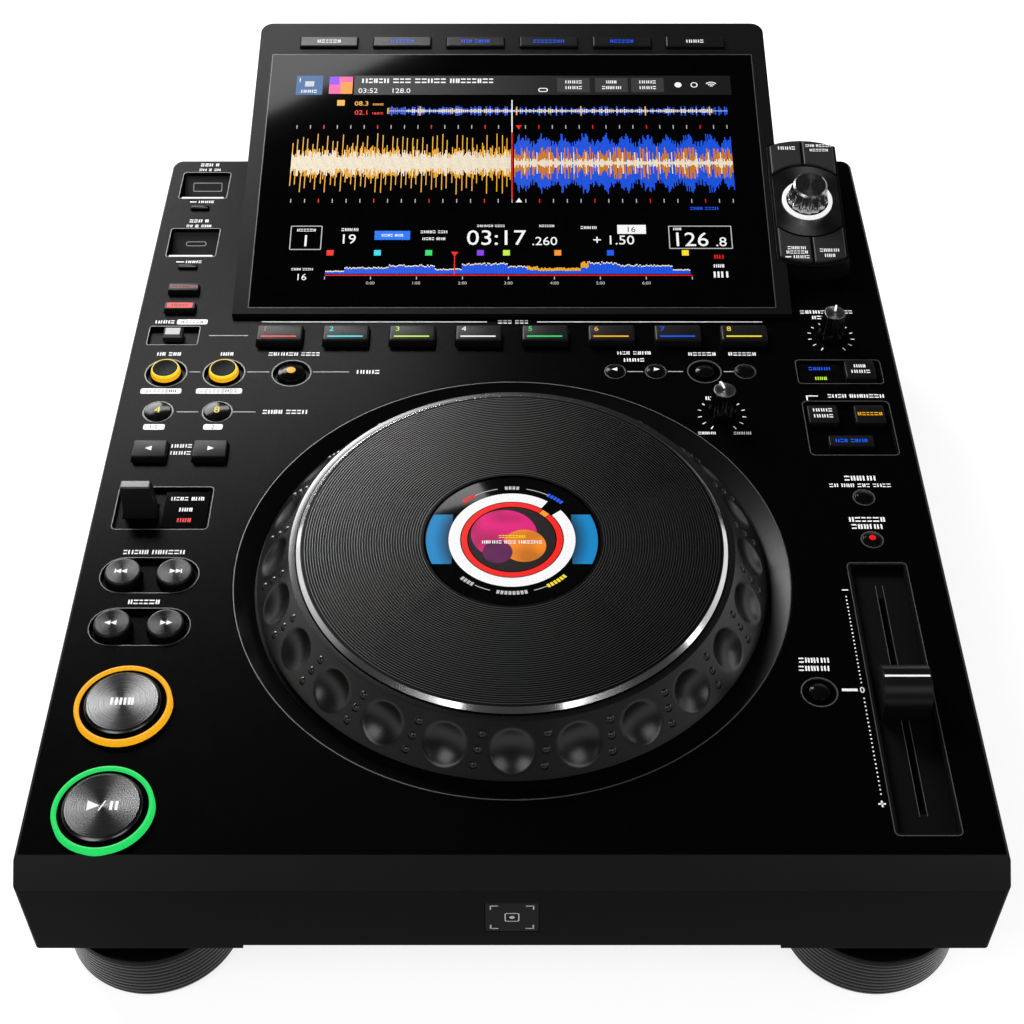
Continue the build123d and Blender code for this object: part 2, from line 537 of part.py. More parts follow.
with BuildPart() as deck_cover:
    with BuildSketch(DECK.offset(-SIDE_DEPTH)):
        with Locations((0, (DECK_DEPTH - FASCIA_SET) / 2)):
            Rectangle(BODY_WIDTH, DECK_DEPTH + FASCIA_SET)
    extrude(amount=SIDE_DEPTH)
    uprights = deck_cover.edges().filter_by(Axis.Z).group_by(Axis.Y)
    fillet(uprights[-1], BACK_CORNER)
    fillet(deck_cover.edges().filter_by(Axis.Z).group_by(Axis.Y)[0], FRONT_CORNER)
    top_edges = deck_cover.faces().sort_by(Axis.Z)[-1].edges()
    chamfer(top_edges.sort_by(Axis.Y)[1:], EDGE_BREAK)
    # The lip slopes along the whole front, and further in the middle.
    with BuildSketch(SIDE):
        add(make_face(side_lip))
    extrude(amount=BODY_WIDTH, both=True, mode=Mode.SUBTRACT)
    with BuildSketch(SIDE):
        add(make_face(front_lip))
    extrude(amount=LIP_HALF, both=True, mode=Mode.SUBTRACT)
    for side in (-1, 1):
        with BuildSketch(SIDE.offset(side * LIP_HALF)) as middle_end:
            add(make_face(front_lip))
        with BuildSketch(SIDE.offset(side * (LIP_HALF + LIP_BLEND))) as side_end:
            add(make_face(side_lip))
        loft(sections=[middle_end.sketch, side_end.sketch], ruled=True, mode=Mode.SUBTRACT)
    # The inside is hollow, with a thicker wall behind the lip.
    with BuildSketch(SIDE):
        with BuildLine():
            Polyline(
                (SIDE_WALL - FASCIA_SET, -SIDE_DEPTH),
                (SIDE_WALL - FASCIA_SET, -LIP_DROP - FASCIA_THROAT),
                (LIP_SET + FASCIA_THROAT, -DECK_WALL),
                (DECK_DEPTH, -DECK_WALL),
                (DECK_DEPTH, -SIDE_DEPTH),
                close=True,
            )
        make_face()
    extrude(amount=INNER_WIDTH / 2, both=True, mode=Mode.SUBTRACT)
    with BuildSketch(FASCIA):
        with Locations((0, -SIDE_DEPTH)):
            Rectangle(SKIRT_WIDTH, 2 * SKIRT_LIFT)
    extrude(amount=-2 * FASCIA_SET, mode=Mode.SUBTRACT)
    # Pans under the two ports, ears for the levers and bosses for the control board.
    with BuildSketch(DECK.offset(-DECK_WALL)):
        with Locations(*USB_PLACES):
            Rectangle(USB_WIDTH + 2 * USB_WALL, USB_LENGTH + 2 * USB_WALL)
    extrude(amount=DECK_WALL - USB_DEPTH - USB_WALL)
    with BuildSketch(SIDE.offset(PADDLE_X - PADDLE_WIDTH / 2 - FIT)):
        with Locations((DIRECTION_Y, -DECK_WALL - EAR_LENGTH / 2)):
            Rectangle(2 * EAR_REACH, EAR_LENGTH)
    extrude(amount=-EAR)
    with BuildSketch(SIDE.offset(PADDLE_X + PADDLE_WIDTH / 2 + FIT)):
        with Locations((DIRECTION_Y, -DECK_WALL - EAR_LENGTH / 2)):
            Rectangle(2 * EAR_REACH, EAR_LENGTH)
    extrude(amount=EAR)
    for side in (-1, 1):
        with BuildSketch(FASCIA.offset(-FASCIA_SET - CALL_LEVER_Y - side * (CALL_STEM / 2 + FIT))):
            with Locations((CALL_LEVER_X, -DECK_WALL - EAR_LENGTH / 2)):
                Rectangle(2 * EAR_REACH, EAR_LENGTH)
        extrude(amount=-side * EAR)
    with BuildSketch(DECK.offset(-DECK_WALL)):
        with Locations(*BOARD_BOSSES):
            Rectangle(BOARD_BOSS, BOARD_BOSS)
    extrude(amount=DECK_WALL - BOARD_TOP)
    # Wells and recesses.
    with BuildSketch(JOG):
        Circle(WELL_RADIUS + FIT)
    extrude(amount=-DECK_WALL, mode=Mode.SUBTRACT)
    with BuildSketch(DECK.offset(-RECESS)):
        with Locations((CALL_LEVER_X, CALL_LEVER_Y)):
            Rectangle(CALL_RECESS_WIDTH, CALL_RECESS_LENGTH)
        with Locations((LOOP_IN_X, LOOP_Y), (LOOP_OUT_X, LOOP_Y)):
            RegularPolygon(LOOP_RECESS_RADIUS, BUTTON_SIDES)
        with Locations((RELOOP_X, LOOP_Y)):
            RegularPolygon(RELOOP_RECESS_RADIUS, BUTTON_SIDES)
        with Locations((DIRECTION_X, DIRECTION_Y)):
            Rectangle(DIRECTION_WIDTH, DIRECTION_LENGTH)
        with Locations((TRACK_X, TRACK_Y), (TRACK_X, SEARCH_Y)):
            SlotOverall(PILL_LENGTH, PILL_WIDTH)
        with Locations((DELETE_X, SMALL_ROW_Y)):
            RegularPolygon(DELETE_RECESS_RADIUS, BUTTON_SIDES)
        with Locations((TEMPO_RESET_X, TEMPO_RESET_Y)):
            RegularPolygon(RESET_RECESS_RADIUS, BUTTON_SIDES)
        with Locations((JOG_MODE_X, JOG_MODE_Y)):
            Rectangle(JOG_MODE_WIDTH, JOG_MODE_LENGTH)
        with Locations((JOG_MODE_X, SYNC_Y)):
            Rectangle(SYNC_WIDTH, SYNC_LENGTH)
    extrude(amount=RECESS, mode=Mode.SUBTRACT)
    with BuildSketch(DECK.offset(-RING_SEAT)):
        with Locations(*RINGS):
            Circle(RING_RADIUS + FIT)
    extrude(amount=RING_SEAT, mode=Mode.SUBTRACT)
    # Each port looks up out of a floor that slopes down to the front.
    for x, y in USB_PLACES:
        with BuildSketch(SIDE.offset(x)):
            with BuildLine():
                Polyline(
                    (y + USB_LENGTH / 2, 0),
                    (y + USB_LENGTH / 2, -USB_SHALLOW),
                    (y, -USB_DEPTH),
                    (y - USB_LENGTH / 2, -USB_DEPTH),
                    (y - USB_LENGTH / 2, 0),
                    close=True,
                )
            make_face()
        extrude(amount=USB_WIDTH / 2, both=True, mode=Mode.SUBTRACT)
        with BuildSketch(DECK.offset(-USB_DEPTH)):
            with Locations((x, y - USB_LENGTH / 4)):
                Rectangle(PORT_WIDTH + 2 * FIT, PORT_HEIGHT + 2 * FIT)
        extrude(amount=-USB_WALL, mode=Mode.SUBTRACT)
    # Holes for everything that goes through the deck.
    for places, width, length, rise in SQUARE_KEYS.values():
        with BuildSketch(DECK):
            with Locations(*places):
                Rectangle(width + 2 * FIT, length + 2 * FIT)
        extrude(amount=-DECK_WALL, mode=Mode.SUBTRACT)
    for places, radius, rise in ROUND_BUTTONS.values():
        with BuildSketch(DECK):
            with Locations(*places):
                RegularPolygon(radius + FIT, BUTTON_SIDES, major_radius=False)
        extrude(amount=-DECK_WALL, mode=Mode.SUBTRACT)
    with BuildSketch(DECK):
        with Locations(*DIALS.values()):
            Circle(DIAL_SHAFT_RADIUS + RUNNING_FIT)
        with Locations((FADER_X, TROUGH_Y)):
            Rectangle(TROUGH_WIDTH + 2 * FIT, TROUGH_LENGTH + 2 * FIT)
        with Locations((PADDLE_X, DIRECTION_Y)):
            Rectangle(
                PADDLE_WIDTH + 2 * FIT,
                PADDLE_THICK + 2 * (PIVOT_DEPTH * tan(radians(PADDLE_SWING)) + FIT),
            )
        with Locations((CALL_LEVER_X, CALL_LEVER_Y)):
            Rectangle(
                CALL_STEM + 2 * (PIVOT_DEPTH * tan(radians(CALL_SWING)) + FIT),
                CALL_STEM + 2 * FIT,
            )
        with Locations((SELECTOR_X, DISPLAY_FRONT + SELECTOR_Y), (0, DISPLAY_FRONT + SELECTOR_Y)):
            Rectangle(CABLE_WINDOW, CABLE_WINDOW)
    extrude(amount=-DECK_WALL, mode=Mode.SUBTRACT)
    with BuildSketch(SIDE):
        with Locations((DIRECTION_Y, -PIVOT_DEPTH)):
            Circle(PIVOT_RADIUS + RUNNING_FIT)
    extrude(amount=PADDLE_X - PADDLE_WIDTH, mode=Mode.SUBTRACT)
    with BuildSketch(FASCIA.offset(-FASCIA_SET - CALL_LEVER_Y)):
        with Locations((CALL_LEVER_X, -PIVOT_DEPTH)):
            Circle(PIVOT_RADIUS + RUNNING_FIT)
    extrude(amount=CALL_STEM + EAR, both=True, mode=Mode.SUBTRACT)
    with BuildSketch(FASCIA):
        with Locations((0, -FRONT_WINDOW_DROP)):
            Rectangle(FRONT_WINDOW + 2 * FIT, FRONT_WINDOW + 2 * FIT)
    extrude(amount=-WINDOW, mode=Mode.SUBTRACT)
deck_cover.part.label = "deck_cover"
export_step(deck_cover.part, "parts/deck_cover.step")

# ---- Base tray: floor, side flanges and rear panel of folded sheet ----
FLOOR_DEPTH = SIDE_DEPTH - SKIRT_LIFT  # underside of the tray, below the deck
TRAY_FRONT = SIDE_WALL - FASCIA_SET + FIT
TRAY_BACK = DECK_DEPTH - REAR_INSET
TRAY_WIDTH = INNER_WIDTH - 2 * FIT

with BuildPart() as base_tray:
    with BuildSketch(DECK.offset(-FLOOR_DEPTH)):
        with Locations((0, (TRAY_FRONT + TRAY_BACK) / 2)):
            Rectangle(TRAY_WIDTH, TRAY_BACK - TRAY_FRONT)
    extrude(amount=TRAY_WALL)
    with BuildSketch(DECK.offset(-FLOOR_DEPTH)):
        with Locations((0, (TRAY_FRONT + TRAY_BACK) / 2)):
            with GridLocations(TRAY_WIDTH - TRAY_WALL, 0, 2, 1):
                Rectangle(TRAY_WALL, TRAY_BACK - TRAY_FRONT)
    extrude(amount=TRAY_FLANGE)
    with BuildSketch(REAR):
        with Locations((0, -(FLOOR_DEPTH + FLANGE_DEPTH) / 2)):
            Rectangle(TRAY_WIDTH, FLOOR_DEPTH - FLANGE_DEPTH)
        with Locations((-INLET_X, -SOCKET_LEVEL)):
            Rectangle(INLET_WIDTH + 2 * FIT, INLET_HEIGHT + 2 * FIT, mode=Mode.SUBTRACT)
        with Locations((-POWER_X, -SOCKET_LEVEL)):
            Rectangle(POWER_WIDTH + 2 * FIT, POWER_HEIGHT + 2 * FIT, mode=Mode.SUBTRACT)
        with Locations((-NETWORK_X, -SOCKET_LEVEL)):
            Rectangle(NETWORK_WIDTH + 2 * FIT, NETWORK_HEIGHT + 2 * FIT, mode=Mode.SUBTRACT)
        with Locations((-HOST_X, -SOCKET_LEVEL)):
            Rectangle(HOST_WIDTH + 2 * FIT, HOST_HEIGHT + 2 * FIT, mode=Mode.SUBTRACT)
        with Locations(*PHONO_PLACES):
            RegularPolygon(PHONO_RADIUS + FIT, BUTTON_SIDES, major_radius=False, mode=Mode.SUBTRACT)
    extrude(amount=-TRAY_WALL)
    with BuildSketch(DECK.offset(TRAY_WALL - FLOOR_DEPTH)):
        with Locations((0, MAIN_BOARD_Y)):
            with GridLocations(MAIN_BOARD_WIDTH - STANDOFF, MAIN_BOARD_DEPTH - STANDOFF, 2, 2):
                Rectangle(STANDOFF, STANDOFF)
    extrude(amount=STANDOFF)
    with BuildSketch(DECK.offset(-FLOOR_DEPTH)):
        with Locations((0, JOG_Y)):
            with GridLocations(VENT_PITCH, 0, VENTS, 1):
                Rectangle(VENT_WIDTH, VENT_LENGTH)
    extrude(amount=TRAY_WALL, mode=Mode.SUBTRACT)
base_tray.part.label = "base_tray"
export_step(base_tray.part, "parts/base_tray.step")

with BuildPart() as main_board:
    with BuildSketch(DECK.offset(TRAY_WALL + STANDOFF - FLOOR_DEPTH)):
        with Locations((0, MAIN_BOARD_Y)):
            Rectangle(MAIN_BOARD_WIDTH, MAIN_BOARD_DEPTH)
    extrude(amount=BOARD)
    # The processors under their heat sinks, and the supply's transformer.
    with BuildSketch(DECK.offset(TRAY_WALL + STANDOFF + BOARD - FLOOR_DEPTH)):
        with Locations(*CHIP_PLACES):
            Rectangle(CHIP, CHIP)
    extrude(amount=CHIP_RISE)
main_board.part.label = "main_board"
export_step(main_board.part, "parts/main_board.step")

with BuildPart() as rear_sockets:
    sockets = (
        (INLET_X, INLET_WIDTH, INLET_HEIGHT),
        (NETWORK_X, NETWORK_WIDTH, NETWORK_HEIGHT),
        (HOST_X, HOST_WIDTH, HOST_HEIGHT),
    )
    for x, width, height in sockets:
        with BuildSketch(REAR.offset(SOCKET_RISE)):
            with Locations((-x, -SOCKET_LEVEL)):
                Rectangle(width, height)
        extrude(amount=-SOCKET_DEPTH - SOCKET_WALL)
        with BuildSketch(REAR.offset(SOCKET_RISE)):
            with Locations((-x, -SOCKET_LEVEL)):
                Rectangle(width - 2 * SOCKET_WALL, height - 2 * SOCKET_WALL)
        extrude(amount=-SOCKET_DEPTH, mode=Mode.SUBTRACT)
    # Three flat pins in the lower half of the mains inlet, and the tongue of the square socket.
    with BuildSketch(REAR.offset(SOCKET_RISE - SOCKET_DEPTH)):
        with Locations((-INLET_X, -SOCKET_LEVEL - INLET_HEIGHT / 4)):
            with GridLocations(INLET_WIDTH / 4, 0, INLET_PINS, 1):
                Rectangle(INLET_PIN, 2 * INLET_PIN)
        with Locations((-HOST_X, -SOCKET_LEVEL)):
            Rectangle(HOST_WIDTH / 2, HOST_HEIGHT / 3)
    extrude(amount=SOCKET_DEPTH - 2 * INLET_PIN)
    with BuildSketch(REAR):
        with Locations(*PHONO_PLACES):
            Circle(PHONO_RADIUS)
    extrude(amount=PHONO_RISE)
    with BuildSketch(REAR):
        with Locations(*PHONO_PLACES):
            RegularPolygon(PHONO_FLANGE, COLLAR_SIDES)
    extrude(amount=PHONO_COLLAR)
    with BuildSketch(REAR.offset(PHONO_RISE)):
        with Locations(*PHONO_PLACES):
            RegularPolygon(PHONO_BORE, BUTTON_SIDES)
    extrude(amount=-PHONO_RISE, mode=Mode.SUBTRACT)
rear_sockets.part.label = "rear_sockets"
export_step(rear_sockets.part, "parts/rear_sockets.step")

with BuildPart() as power_button:
    with BuildSketch(REAR.offset(POWER_RISE)):
        with Locations((-POWER_X, -SOCKET_LEVEL)):
            Rectangle(POWER_WIDTH, POWER_HEIGHT)
    extrude(amount=-POWER_RISE - TRAY_WALL - FIT - FLANGE_THICK)
    chamfer(power_button.faces().sort_by(Axis.Y)[-1].edges(), KEY_BREAK)
    with BuildSketch(REAR.offset(-TRAY_WALL - FIT)):
        with Locations((-POWER_X, -SOCKET_LEVEL)):
            Rectangle(POWER_WIDTH + 2 * FLANGE, POWER_HEIGHT + 2 * FLANGE)
    extrude(amount=-FLANGE_THICK)
power_button.part.label = "power_button"
export_step(power_button.part, "parts/power_button.step")

# ---- Feet: turned, with a narrow neck and a thin rubber pad ----
FOOT_TOP = DECK_HEIGHT - FLOOR_DEPTH
foot_planes = [Plane(DECK.from_local_coords((x, y, -DECK_HEIGHT))) for x, y in FEET]

with BuildPart() as feet:
    for foot_plane in foot_planes:
        with BuildSketch(Plane(foot_plane.origin, x_dir=(1, 0, 0), z_dir=(0, -1, 0))):
            with BuildLine():
                Polyline(
                    (0, FOOT_PAD),
                    (FOOT_RADIUS - FOOT_BEVEL, FOOT_PAD),
                    (FOOT_RADIUS, FOOT_PAD + FOOT_BEVEL),
                    (FOOT_RADIUS, FOOT_TOP - FOOT_NECK),
                    (FOOT_NECK_RADIUS, FOOT_TOP - FOOT_NECK),
                    (FOOT_NECK_RADIUS, FOOT_TOP),
                    (0, FOOT_TOP),
                    close=True,
                )
            make_face()
        revolve(axis=Axis(foot_plane.origin, (0, 0, 1)))
feet.part.label = "feet"
export_step(feet.part, "parts/feet.step")

with BuildPart() as foot_pads:
    with BuildSketch(DECK.offset(-DECK_HEIGHT)):
        with Locations(*FEET):
            RegularPolygon(FOOT_PAD_RADIUS, PAD_SIDES)
    extrude(amount=FOOT_PAD)
foot_pads.part.label = "foot_pads"
export_step(foot_pads.part, "parts/foot_pads.step")

# ---- Control board under the deck, with a switch under every key ----
KEY_PLACES = [place for places, width, length, rise in SQUARE_KEYS.values() for place in places]
BUTTON_PLACES = [place for places, radius, rise in ROUND_BUTTONS.values() for place in places]
BOARD_REACH = BODY_WIDTH / 2 - SIDE_WALL - BOARD_EDGE  # outer edge of the board's arms

with BuildPart() as control_board:
    with BuildSketch(DECK.offset(-BOARD_TOP)):
        for side in (-1, 1):
            with Locations((side * (BOARD_REACH - BOARD_COLUMN / 2), BOARD_ARM / 2 + BOARD_FRONT)):
                Rectangle(BOARD_COLUMN, BOARD_ARM)
        with Locations((0, BOARD_BACK - BOARD_BRIDGE / 2)):
            Rectangle(2 * BOARD_REACH, BOARD_BRIDGE)
        with Locations(*USB_PLACES):
            Rectangle(
                USB_WIDTH + 2 * USB_WALL + 2 * BOARD_CLEARANCE,
                USB_LENGTH + 2 * USB_WALL + 2 * BOARD_CLEARANCE,
                mode=Mode.SUBTRACT,
            )
        with Locations((FADER_X, FADER_Y)):
            Rectangle(
                FADER_POT_WIDTH + 2 * BOARD_CLEARANCE,
                FADER_POT_LENGTH + 2 * BOARD_CLEARANCE,
                mode=Mode.SUBTRACT,
            )
        with Locations((PADDLE_X, DIRECTION_Y)):
            Rectangle(
                PADDLE_WIDTH + 2 * (EAR + BOARD_CLEARANCE),
                2 * (EAR_REACH + BOARD_CLEARANCE),
                mode=Mode.SUBTRACT,
            )
        with Locations((CALL_LEVER_X, CALL_LEVER_Y)):
            Rectangle(
                2 * (EAR_REACH + BOARD_CLEARANCE),
                CALL_STEM + 2 * (EAR + BOARD_CLEARANCE),
                mode=Mode.SUBTRACT,
            )
    extrude(amount=-BOARD)
    with BuildSketch(DECK.offset(-BOARD_TOP)):
        with Locations(*KEY_PLACES, *BUTTON_PLACES):
            Rectangle(SWITCH, SWITCH)
    extrude(amount=BOARD_GAP - TRAVEL - FIT)
control_board.part.label = "control_board"
export_step(control_board.part, "parts/control_board.step")

# ---- Jog wheel ----
with BuildPart() as jog_well:
    with BuildSketch(JOG_SECTION):
        with BuildLine():
            Polyline(
                (CABLE_BORE, -WELL_DEPTH),
                (WELL_FLOOR_RADIUS, -WELL_DEPTH),
                (WELL_RADIUS, 0),
                (WELL_RADIUS, -DECK_WALL),
                (WELL_FLANGE_RADIUS, -DECK_WALL),
                (WELL_FLANGE_RADIUS, -WELL_DEPTH - WELL_WALL),
                (CABLE_BORE, -WELL_DEPTH - WELL_WALL),
                close=True,
            )
        make_face()
    revolve(axis=JOG_AXIS)
jog_well.part.label = "jog_well"
export_step(jog_well.part, "parts/jog_well.step")

PLATTER_TOP = JOG_RISE + PLATTER
SPINDLE_TOP = JOG_RISE + FIT  # the ring turns just under the display that the spindle carries
FLANGE_TOP = SPINDLE_FLANGE_THICK - WELL_DEPTH

with BuildPart() as jog_spindle:
    with BuildSketch(JOG_SECTION):
        with BuildLine():
            Polyline(
                (CABLE_BORE, -WELL_DEPTH),
                (SPINDLE_RADIUS, -WELL_DEPTH),
                (SPINDLE_RADIUS, SPINDLE_TOP),
                (CABLE_BORE, SPINDLE_TOP),
                close=True,
            )
        make_face()
    revolve(axis=JOG_AXIS)
    # A square flange fastens the spindle to the well's floor.
    with BuildSketch(JOG.offset(-WELL_DEPTH)):
        Rectangle(SPINDLE_FLANGE, SPINDLE_FLANGE)
        Circle(CABLE_BORE, mode=Mode.SUBTRACT)
    extrude(amount=SPINDLE_FLANGE_THICK)
jog_spindle.part.label = "jog_spindle"
export_step(jog_spindle.part, "parts/jog_spindle.step")

# The ring is a cone with a row of finger dimples, carried on the spindle by a thin web and a hub.
CONE_RUN = JOG_RADIUS - JOG_SHOULDER
CONE_RISE = JOG_RISE + JOG_SKIRT
CONE_LENGTH = sqrt(CONE_RUN**2 + CONE_RISE**2)
CONE_OUT = CONE_RISE / CONE_LENGTH  # the cone's normal: outward and upward
CONE_UP = CONE_RUN / CONE_LENGTH
WALL_ACROSS = JOG_WALL / CONE_OUT
WEB_UNDERSIDE = JOG_RISE - JOG_WEB
DIMPLE_SPHERE = (DIMPLE_RADIUS**2 + DIMPLE_DEPTH**2) / (2 * DIMPLE_DEPTH)
DIMPLE_REACH = DIMPLE_SPHERE - DIMPLE_DEPTH
DIMPLE_CENTRE_RADIUS = (JOG_RADIUS + JOG_SHOULDER) / 2 + DIMPLE_REACH * CONE_OUT
DIMPLE_CENTRE_HEIGHT = (JOG_RISE - JOG_SKIRT) / 2 + DIMPLE_REACH * CONE_UP
INNER_FOOT = JOG_RADIUS - WALL_ACROSS
INNER_TOP = INNER_FOOT - (WEB_UNDERSIDE + JOG_SKIRT) * CONE_RUN / CONE_RISE

with BuildPart() as jog_ring:
    with BuildSketch(JOG_SECTION):
        with BuildLine():
            Polyline(
                (JOG_RADIUS, -JOG_SKIRT),
                (JOG_SHOULDER, JOG_RISE),
                (SPINDLE_RADIUS + RUNNING_FIT, JOG_RISE),
                (SPINDLE_RADIUS + RUNNING_FIT, FLANGE_TOP + FIT),
                (HUB_RADIUS, FLANGE_TOP + FIT),
                (HUB_RADIUS, WEB_UNDERSIDE),
                (INNER_TOP, WEB_UNDERSIDE),
                (INNER_FOOT, -JOG_SKIRT),
                close=True,
            )
        make_face()
    revolve(axis=JOG_AXIS)
    with Locations(JOG.offset(DIMPLE_CENTRE_HEIGHT)):
        with PolarLocations(DIMPLE_CENTRE_RADIUS, DIMPLES, start_angle=-90):
            Sphere(DIMPLE_SPHERE, mode=Mode.SUBTRACT)
jog_ring.part.label = "jog_ring"
export_step(jog_ring.part, "parts/jog_ring.step")

with BuildPart() as jog_platter:
    with BuildSketch(JOG_SECTION):
        with BuildLine():
            Polyline(
                (PLATTER_BORE, JOG_RISE),
                (PLATTER_RADIUS, JOG_RISE),
                (PLATTER_RADIUS, PLATTER_TOP - PLATTER_BEVEL),
                (PLATTER_RADIUS - PLATTER_BEVEL, PLATTER_TOP),
                (PLATTER_BORE, PLATTER_TOP),
                close=True,
            )
        make_face()
    revolve(axis=JOG_AXIS)
jog_platter.part.label = "jog_platter"
export_step(jog_platter.part, "parts/jog_platter.step")

with BuildPart() as jog_display:
    with BuildSketch(JOG.offset(SPINDLE_TOP)):
        Circle(JOG_DISPLAY_RADIUS)
    extrude(amount=PLATTER_TOP - SPINDLE_TOP)
jog_display.part.label = "jog_display"
export_step(jog_display.part, "parts/jog_display.step")

# ---- Display housing: a tilted case that overhangs the rear panel ----
DISPLAY_MIDDLE = (0, DISPLAY_LENGTH / 2)
GLASS_MIDDLE = (0, GLASS_FRONT + GLASS_LENGTH / 2)
DISPLAY_REACH = 2 * DISPLAY_TOP  # deep enough to pass the deck everywhere


def selector_block(margin):
    """The selector's outside: tapered, upright beside the display, larger all round by the margin."""
    with BuildPart() as block:
        with BuildSketch(SELECTOR):
            RegularPolygon(SELECTOR_RADIUS + margin, SELECTOR_SIDES)
            Rectangle(SELECTOR_WIDTH + 2 * margin, 2 * (SELECTOR_RADIUS + margin), mode=Mode.INTERSECT)
        extrude(amount=-DISPLAY_TOP, taper=-SELECTOR_DRAFT)
        with BuildSketch(DECK):
            with Locations((SELECTOR_X - SELECTOR_HALF - margin, DISPLAY_FRONT + SELECTOR_Y)):
                Rectangle(2 * SELECTOR_WIDTH, DISPLAY_LENGTH, align=(Align.MIN, Align.CENTER))
        extrude(amount=DISPLAY_TOP, mode=Mode.INTERSECT)
    return block.part


def selector_key_outline(margin):
    """The four keys round the selector's plate, larger all round by the margin."""
    with BuildSketch() as outline:
        RegularPolygon(SELECTOR_RADIUS - SELECTOR_KEY_EDGE + margin, SELECTOR_SIDES)
        RegularPolygon(PLATE_RADIUS + SELECTOR_KEY_GAP - margin, SELECTOR_SIDES, mode=Mode.SUBTRACT)
        Rectangle(
            SELECTOR_WIDTH - 2 * (SELECTOR_KEY_EDGE - margin),
            2 * SELECTOR_RADIUS,
            mode=Mode.INTERSECT,
        )
        Rectangle(SELECTOR_KEY_GAP - 2 * margin, 2 * SELECTOR_RADIUS, mode=Mode.SUBTRACT)
    return outline.sketch


with BuildPart() as display_core:
    with BuildSketch(DISPLAY.offset(-GLASS - DISPLAY_WALL)):
        with Locations(DISPLAY_MIDDLE):
            Rectangle(DISPLAY_WIDTH - 2 * DISPLAY_RIM, DISPLAY_LENGTH - 2 * DISPLAY_WALL)
    extrude(amount=-DISPLAY_REACH)
    with BuildSketch(SIDE):
        with BuildLine():
            Polyline(
                (DISPLAY_FRONT, 0),
                (DECK_DEPTH - DISPLAY_WALL, 0),
                (DISPLAY_BACK - DISPLAY_WALL, DISPLAY_TOP - DISPLAY_BACK_DROP + DISPLAY_WALL),
                (DISPLAY_BACK - DISPLAY_WALL, DISPLAY_REACH),
                (DISPLAY_FRONT, DISPLAY_REACH),
                close=True,
            )
        make_face()
    extrude(amount=DISPLAY_WIDTH, both=True, mode=Mode.INTERSECT)

with BuildPart() as display_housing:
    with BuildSketch(DISPLAY) as outline:
        with Locations(DISPLAY_MIDDLE):
            Rectangle(DISPLAY_WIDTH, DISPLAY_LENGTH)
        fillet(outline.vertices().group_by(Axis.Y)[-1], DISPLAY_CORNER)
    extrude(amount=-DISPLAY_REACH, taper=-DISPLAY_DRAFT)
    with BuildSketch(SIDE):
        with BuildLine():
            Polyline(
                (DISPLAY_FRONT - DISPLAY_REACH, 0),
                (DECK_DEPTH, 0),
                (DISPLAY_BACK, DISPLAY_TOP - DISPLAY_BACK_DROP),
                (DISPLAY_BACK, DISPLAY_REACH),
                (DISPLAY_FRONT - DISPLAY_REACH, DISPLAY_REACH),
                close=True,
            )
        make_face()
    extrude(amount=DISPLAY_WIDTH, both=True, mode=Mode.INTERSECT)
    add(display_core.part, mode=Mode.SUBTRACT)
    with BuildSketch(DISPLAY):
        with Locations(GLASS_MIDDLE):
            Rectangle(GLASS_WIDTH + 2 * FIT, GLASS_LENGTH + 2 * FIT)
    extrude(amount=-GLASS, mode=Mode.SUBTRACT)
    with BuildSketch(DISPLAY):
        with Locations(GLASS_MIDDLE):
            Rectangle(PANEL_WIDTH + 2 * PANEL_FRAME, PANEL_LENGTH + 2 * PANEL_FRAME)
        with Locations(*DISPLAY_KEY_PLACES):
            Rectangle(DISPLAY_KEY_WIDTH + 2 * FIT, DISPLAY_KEY_LENGTH + 2 * FIT)
    extrude(amount=-GLASS - DISPLAY_WALL, mode=Mode.SUBTRACT)
    add(selector_block(FIT), mode=Mode.SUBTRACT)
display_housing.part.label = "display_housing"
export_step(display_housing.part, "parts/display_housing.step")

with BuildPart() as display_glass:
    with BuildSketch(DISPLAY.offset(-GLASS)):
        with Locations(GLASS_MIDDLE):
            Rectangle(GLASS_WIDTH, GLASS_LENGTH)
    extrude(amount=GLASS)
display_glass.part.label = "display_glass"
export_step(display_glass.part, "parts/display_glass.step")

with BuildPart() as display_panel:
    with BuildSketch(DISPLAY.offset(-GLASS)):
        with Locations(GLASS_MIDDLE):
            Rectangle(PANEL_WIDTH, PANEL_LENGTH)
    extrude(amount=-PANEL)
display_panel.part.label = "display_panel"
export_step(display_panel.part, "parts/display_panel.step")

with BuildPart() as display_keys:
    with BuildSketch(DISPLAY.offset(-GLASS - DISPLAY_WALL - FIT)):
        with Locations(*DISPLAY_KEY_PLACES):
            Rectangle(DISPLAY_KEY_WIDTH, DISPLAY_KEY_LENGTH)
    extrude(amount=GLASS + DISPLAY_WALL + FIT + DISPLAY_KEY_RISE)
    key_tops = display_keys.faces().group_by(Axis((0, 0, 0), DISPLAY.z_dir))[-1]
    chamfer(key_tops.edges(), KEY_BREAK)
    with BuildSketch(DISPLAY.offset(-GLASS - DISPLAY_WALL - FIT)):
        with Locations(*DISPLAY_KEY_PLACES):
            Rectangle(DISPLAY_KEY_WIDTH + 2 * FLANGE, DISPLAY_KEY_LENGTH + 2 * FLANGE)
    extrude(amount=-FLANGE_THICK)
display_keys.part.label = "display_keys"
export_step(display_keys.part, "parts/display_keys.step")

# ---- Selector: a tilted block with a round plate, four keys and a push encoder ----
STEM_RADIUS = (PLATE_RADIUS + SELECTOR_RADIUS) / 2
STEM_PLACES = [
    (side * SELECTOR_HALF / 2, end * (STEM_RADIUS - SELECTOR_KEY_GAP)) for side in (-1, 1) for end in (-1, 1)
]
KNOB_FOOT = PLATE_RISE + ENCODER_TRAVEL + FIT
CAVITY_HALF = SELECTOR_RADIUS - SELECTOR_KEY_DEPTH - DISPLAY_WALL

